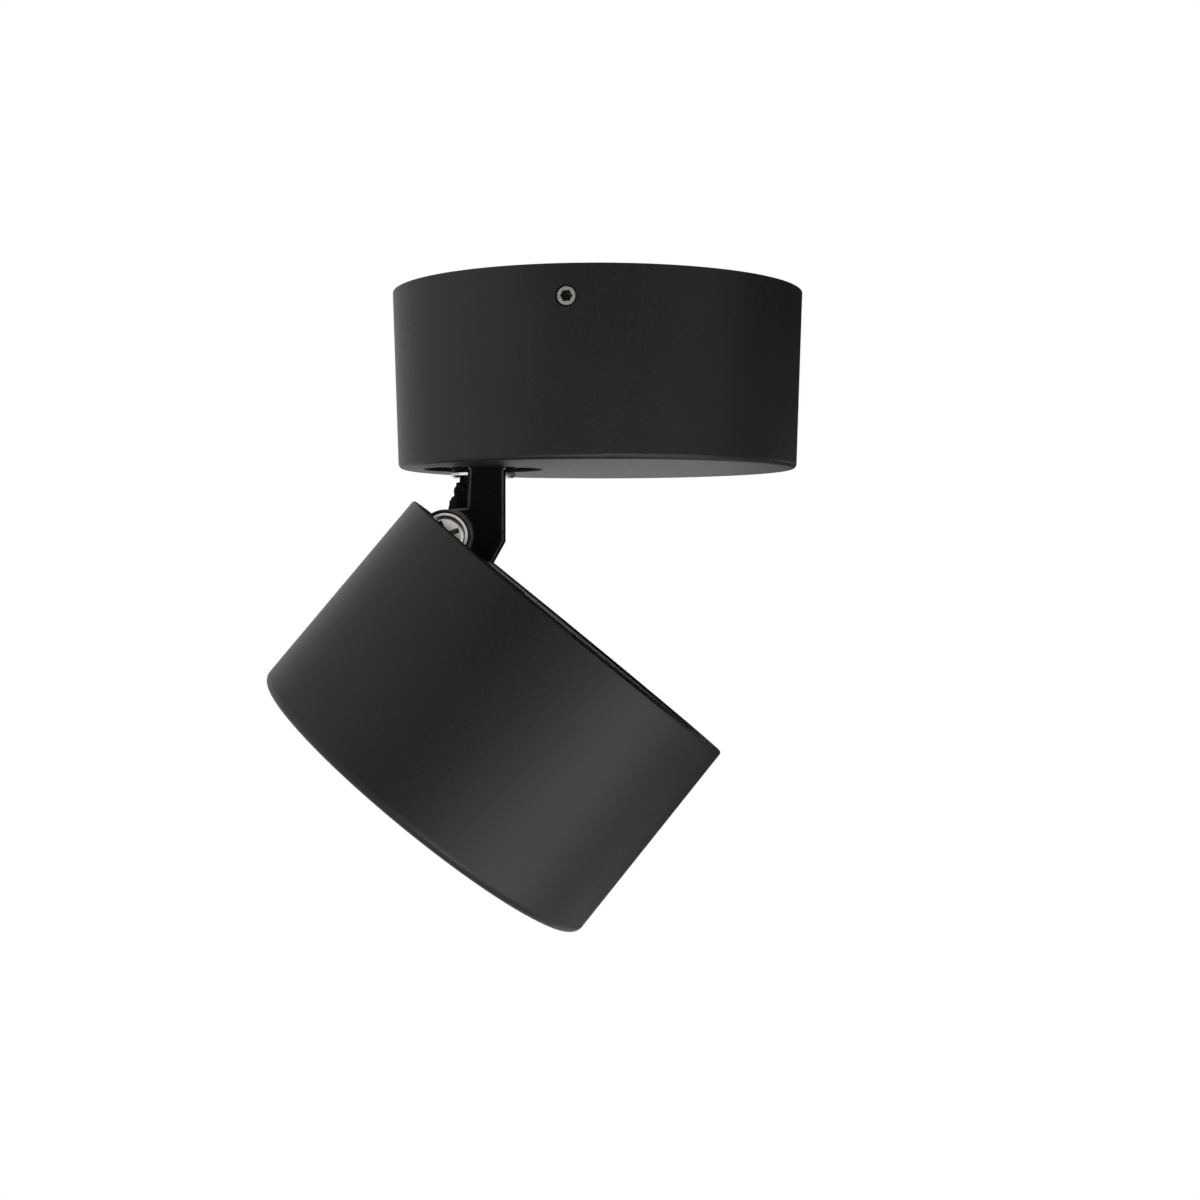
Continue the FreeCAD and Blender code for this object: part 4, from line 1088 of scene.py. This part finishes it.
@dataclass(frozen=True)
class Studio:
    """The camera, the lamps, the black cards, the pale floor far below and the white surroundings."""

    lens: float = 52.73
    sensor: float = 36.0
    nearest: float = 0.01
    place: Place = (-0.01556, -0.36397, -0.05397)
    right: Place = (0.99903, -0.04407, 0.0)
    up: Place = (0.00105, 0.02381, 0.99972)
    forward: Place = (0.04406, 0.99874, -0.02383)
    floor_depth: float = 1.2
    floor_side: float = 1.2
    floor_dark: Colour = (0.80, 0.80, 0.80)
    floor_light: Colour = (0.84, 0.84, 0.84)
    floor_mottle: float = 0.05
    floor_roughness: Range = (0.8, 0.9)
    seen_strength: float = 1.0
    soft_strength: float = 0.3
    cards: tuple[BlackCard, ...] = (
        BlackCard("right_card", (0.52, 0.36, 0.05), 1.4),
        BlackCard("high_card", (0.46, -0.06, 0.48), 0.5),
        BlackCard("top_card", (0.0, -0.5, 0.42), 0.9),
    )
    lamps: tuple[SoftLamp, ...] = (
        SoftLamp("left_lamp", (-0.92, -0.35, 0.2), 1.1, 3.6),
        SoftLamp("low_right_lamp", (0.34, -0.33, -0.47), 0.46, 3.0),
        SoftLamp("low_front_lamp", (-0.1, -0.75, -0.75), 0.5, 8.0),
        SoftLamp("rear_lamp", (0.05, 0.60, 0.75), 1.2, 5.0),
        SoftLamp("right_strip_lamp", (0.40, 0.20, -0.08), 0.5, 0.11, 0.04),
    )

    def camera(self) -> None:
        """Place the camera where the photograph was taken from."""
        data = bpy.data.cameras.new("camera")
        data.lens = self.lens
        data.sensor_width = self.sensor
        data.sensor_fit = "HORIZONTAL"
        data.clip_start = self.nearest
        camera = bpy.data.objects.new("camera", data)
        bpy.context.scene.collection.objects.link(camera)
        axes = Matrix((self.right, self.up, [-part for part in self.forward])).transposed()
        camera.matrix_world = Matrix.Translation(self.place) @ axes.to_4x4()
        bpy.context.scene.camera = camera

    def floor(self) -> None:
        """Lay the pale floor, far below the object."""
        shader = Shader("studio_floor")
        mottle = shader.grain(self.floor_mottle)
        colour = shader.blend(mottle, self.floor_dark, self.floor_light)
        coat = shader.finish(Base_Color=colour, Roughness=mottle.span(*MIDDLE, *self.floor_roughness))
        mesh = Mesh().square(self.floor_side).moved(Matrix.Translation((0, 0, -self.floor_depth)))
        mesh.scenery("studio_floor", coat)

    def world(self) -> None:
        """Surround the object with white for camera, gloss and glass, and softer light for the rest."""
        world = bpy.data.worlds.new("studio")
        world.use_nodes = True
        graph = Graph(world.node_tree)
        rays = graph.node("ShaderNodeLightPath", {}, {})
        names = ("Is Camera Ray", "Is Glossy Ray", "Is Transmission Ray")
        camera, gloss, glass = (Signal(graph, rays.outputs[name]) for name in names)
        seen = camera.larger(gloss).larger(glass)
        backgrounds = [
            graph.node("ShaderNodeBackground", {}, {"Color": rgba(WHITE), "Strength": strength})
            for strength in (self.soft_strength, self.seen_strength)
        ]
        soft, white = (background.outputs["Background"] for background in backgrounds)
        mixed = graph.node("ShaderNodeMixShader", {}, {0: seen, 1: soft, 2: white})
        graph.node("ShaderNodeOutputWorld", {}, {"Surface": mixed.outputs[0]})
        bpy.context.scene.world = world

    def build(self) -> None:
        """Set the whole studio up."""
        low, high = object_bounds()
        target = (Vector(low) + Vector(high)) / 2
        self.camera()
        self.floor()
        for card in self.cards:
            card.build(target)
        self.world()
        for lamp in self.lamps:
            lamp.build(target)
        bpy.context.scene.view_settings.view_transform = "Standard"


def main() -> None:
    """Dress the nodes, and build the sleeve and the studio."""
    logging.basicConfig(level=logging.INFO, format="%(name)s %(message)s")
    coats = finishes()
    dress_nodes(coats)
    Sleeve().build(Hinge(), coats["braided_sleeve"])
    Studio().build()
    LOG.info("sizes written")


if __name__ == "__main__":
    main()
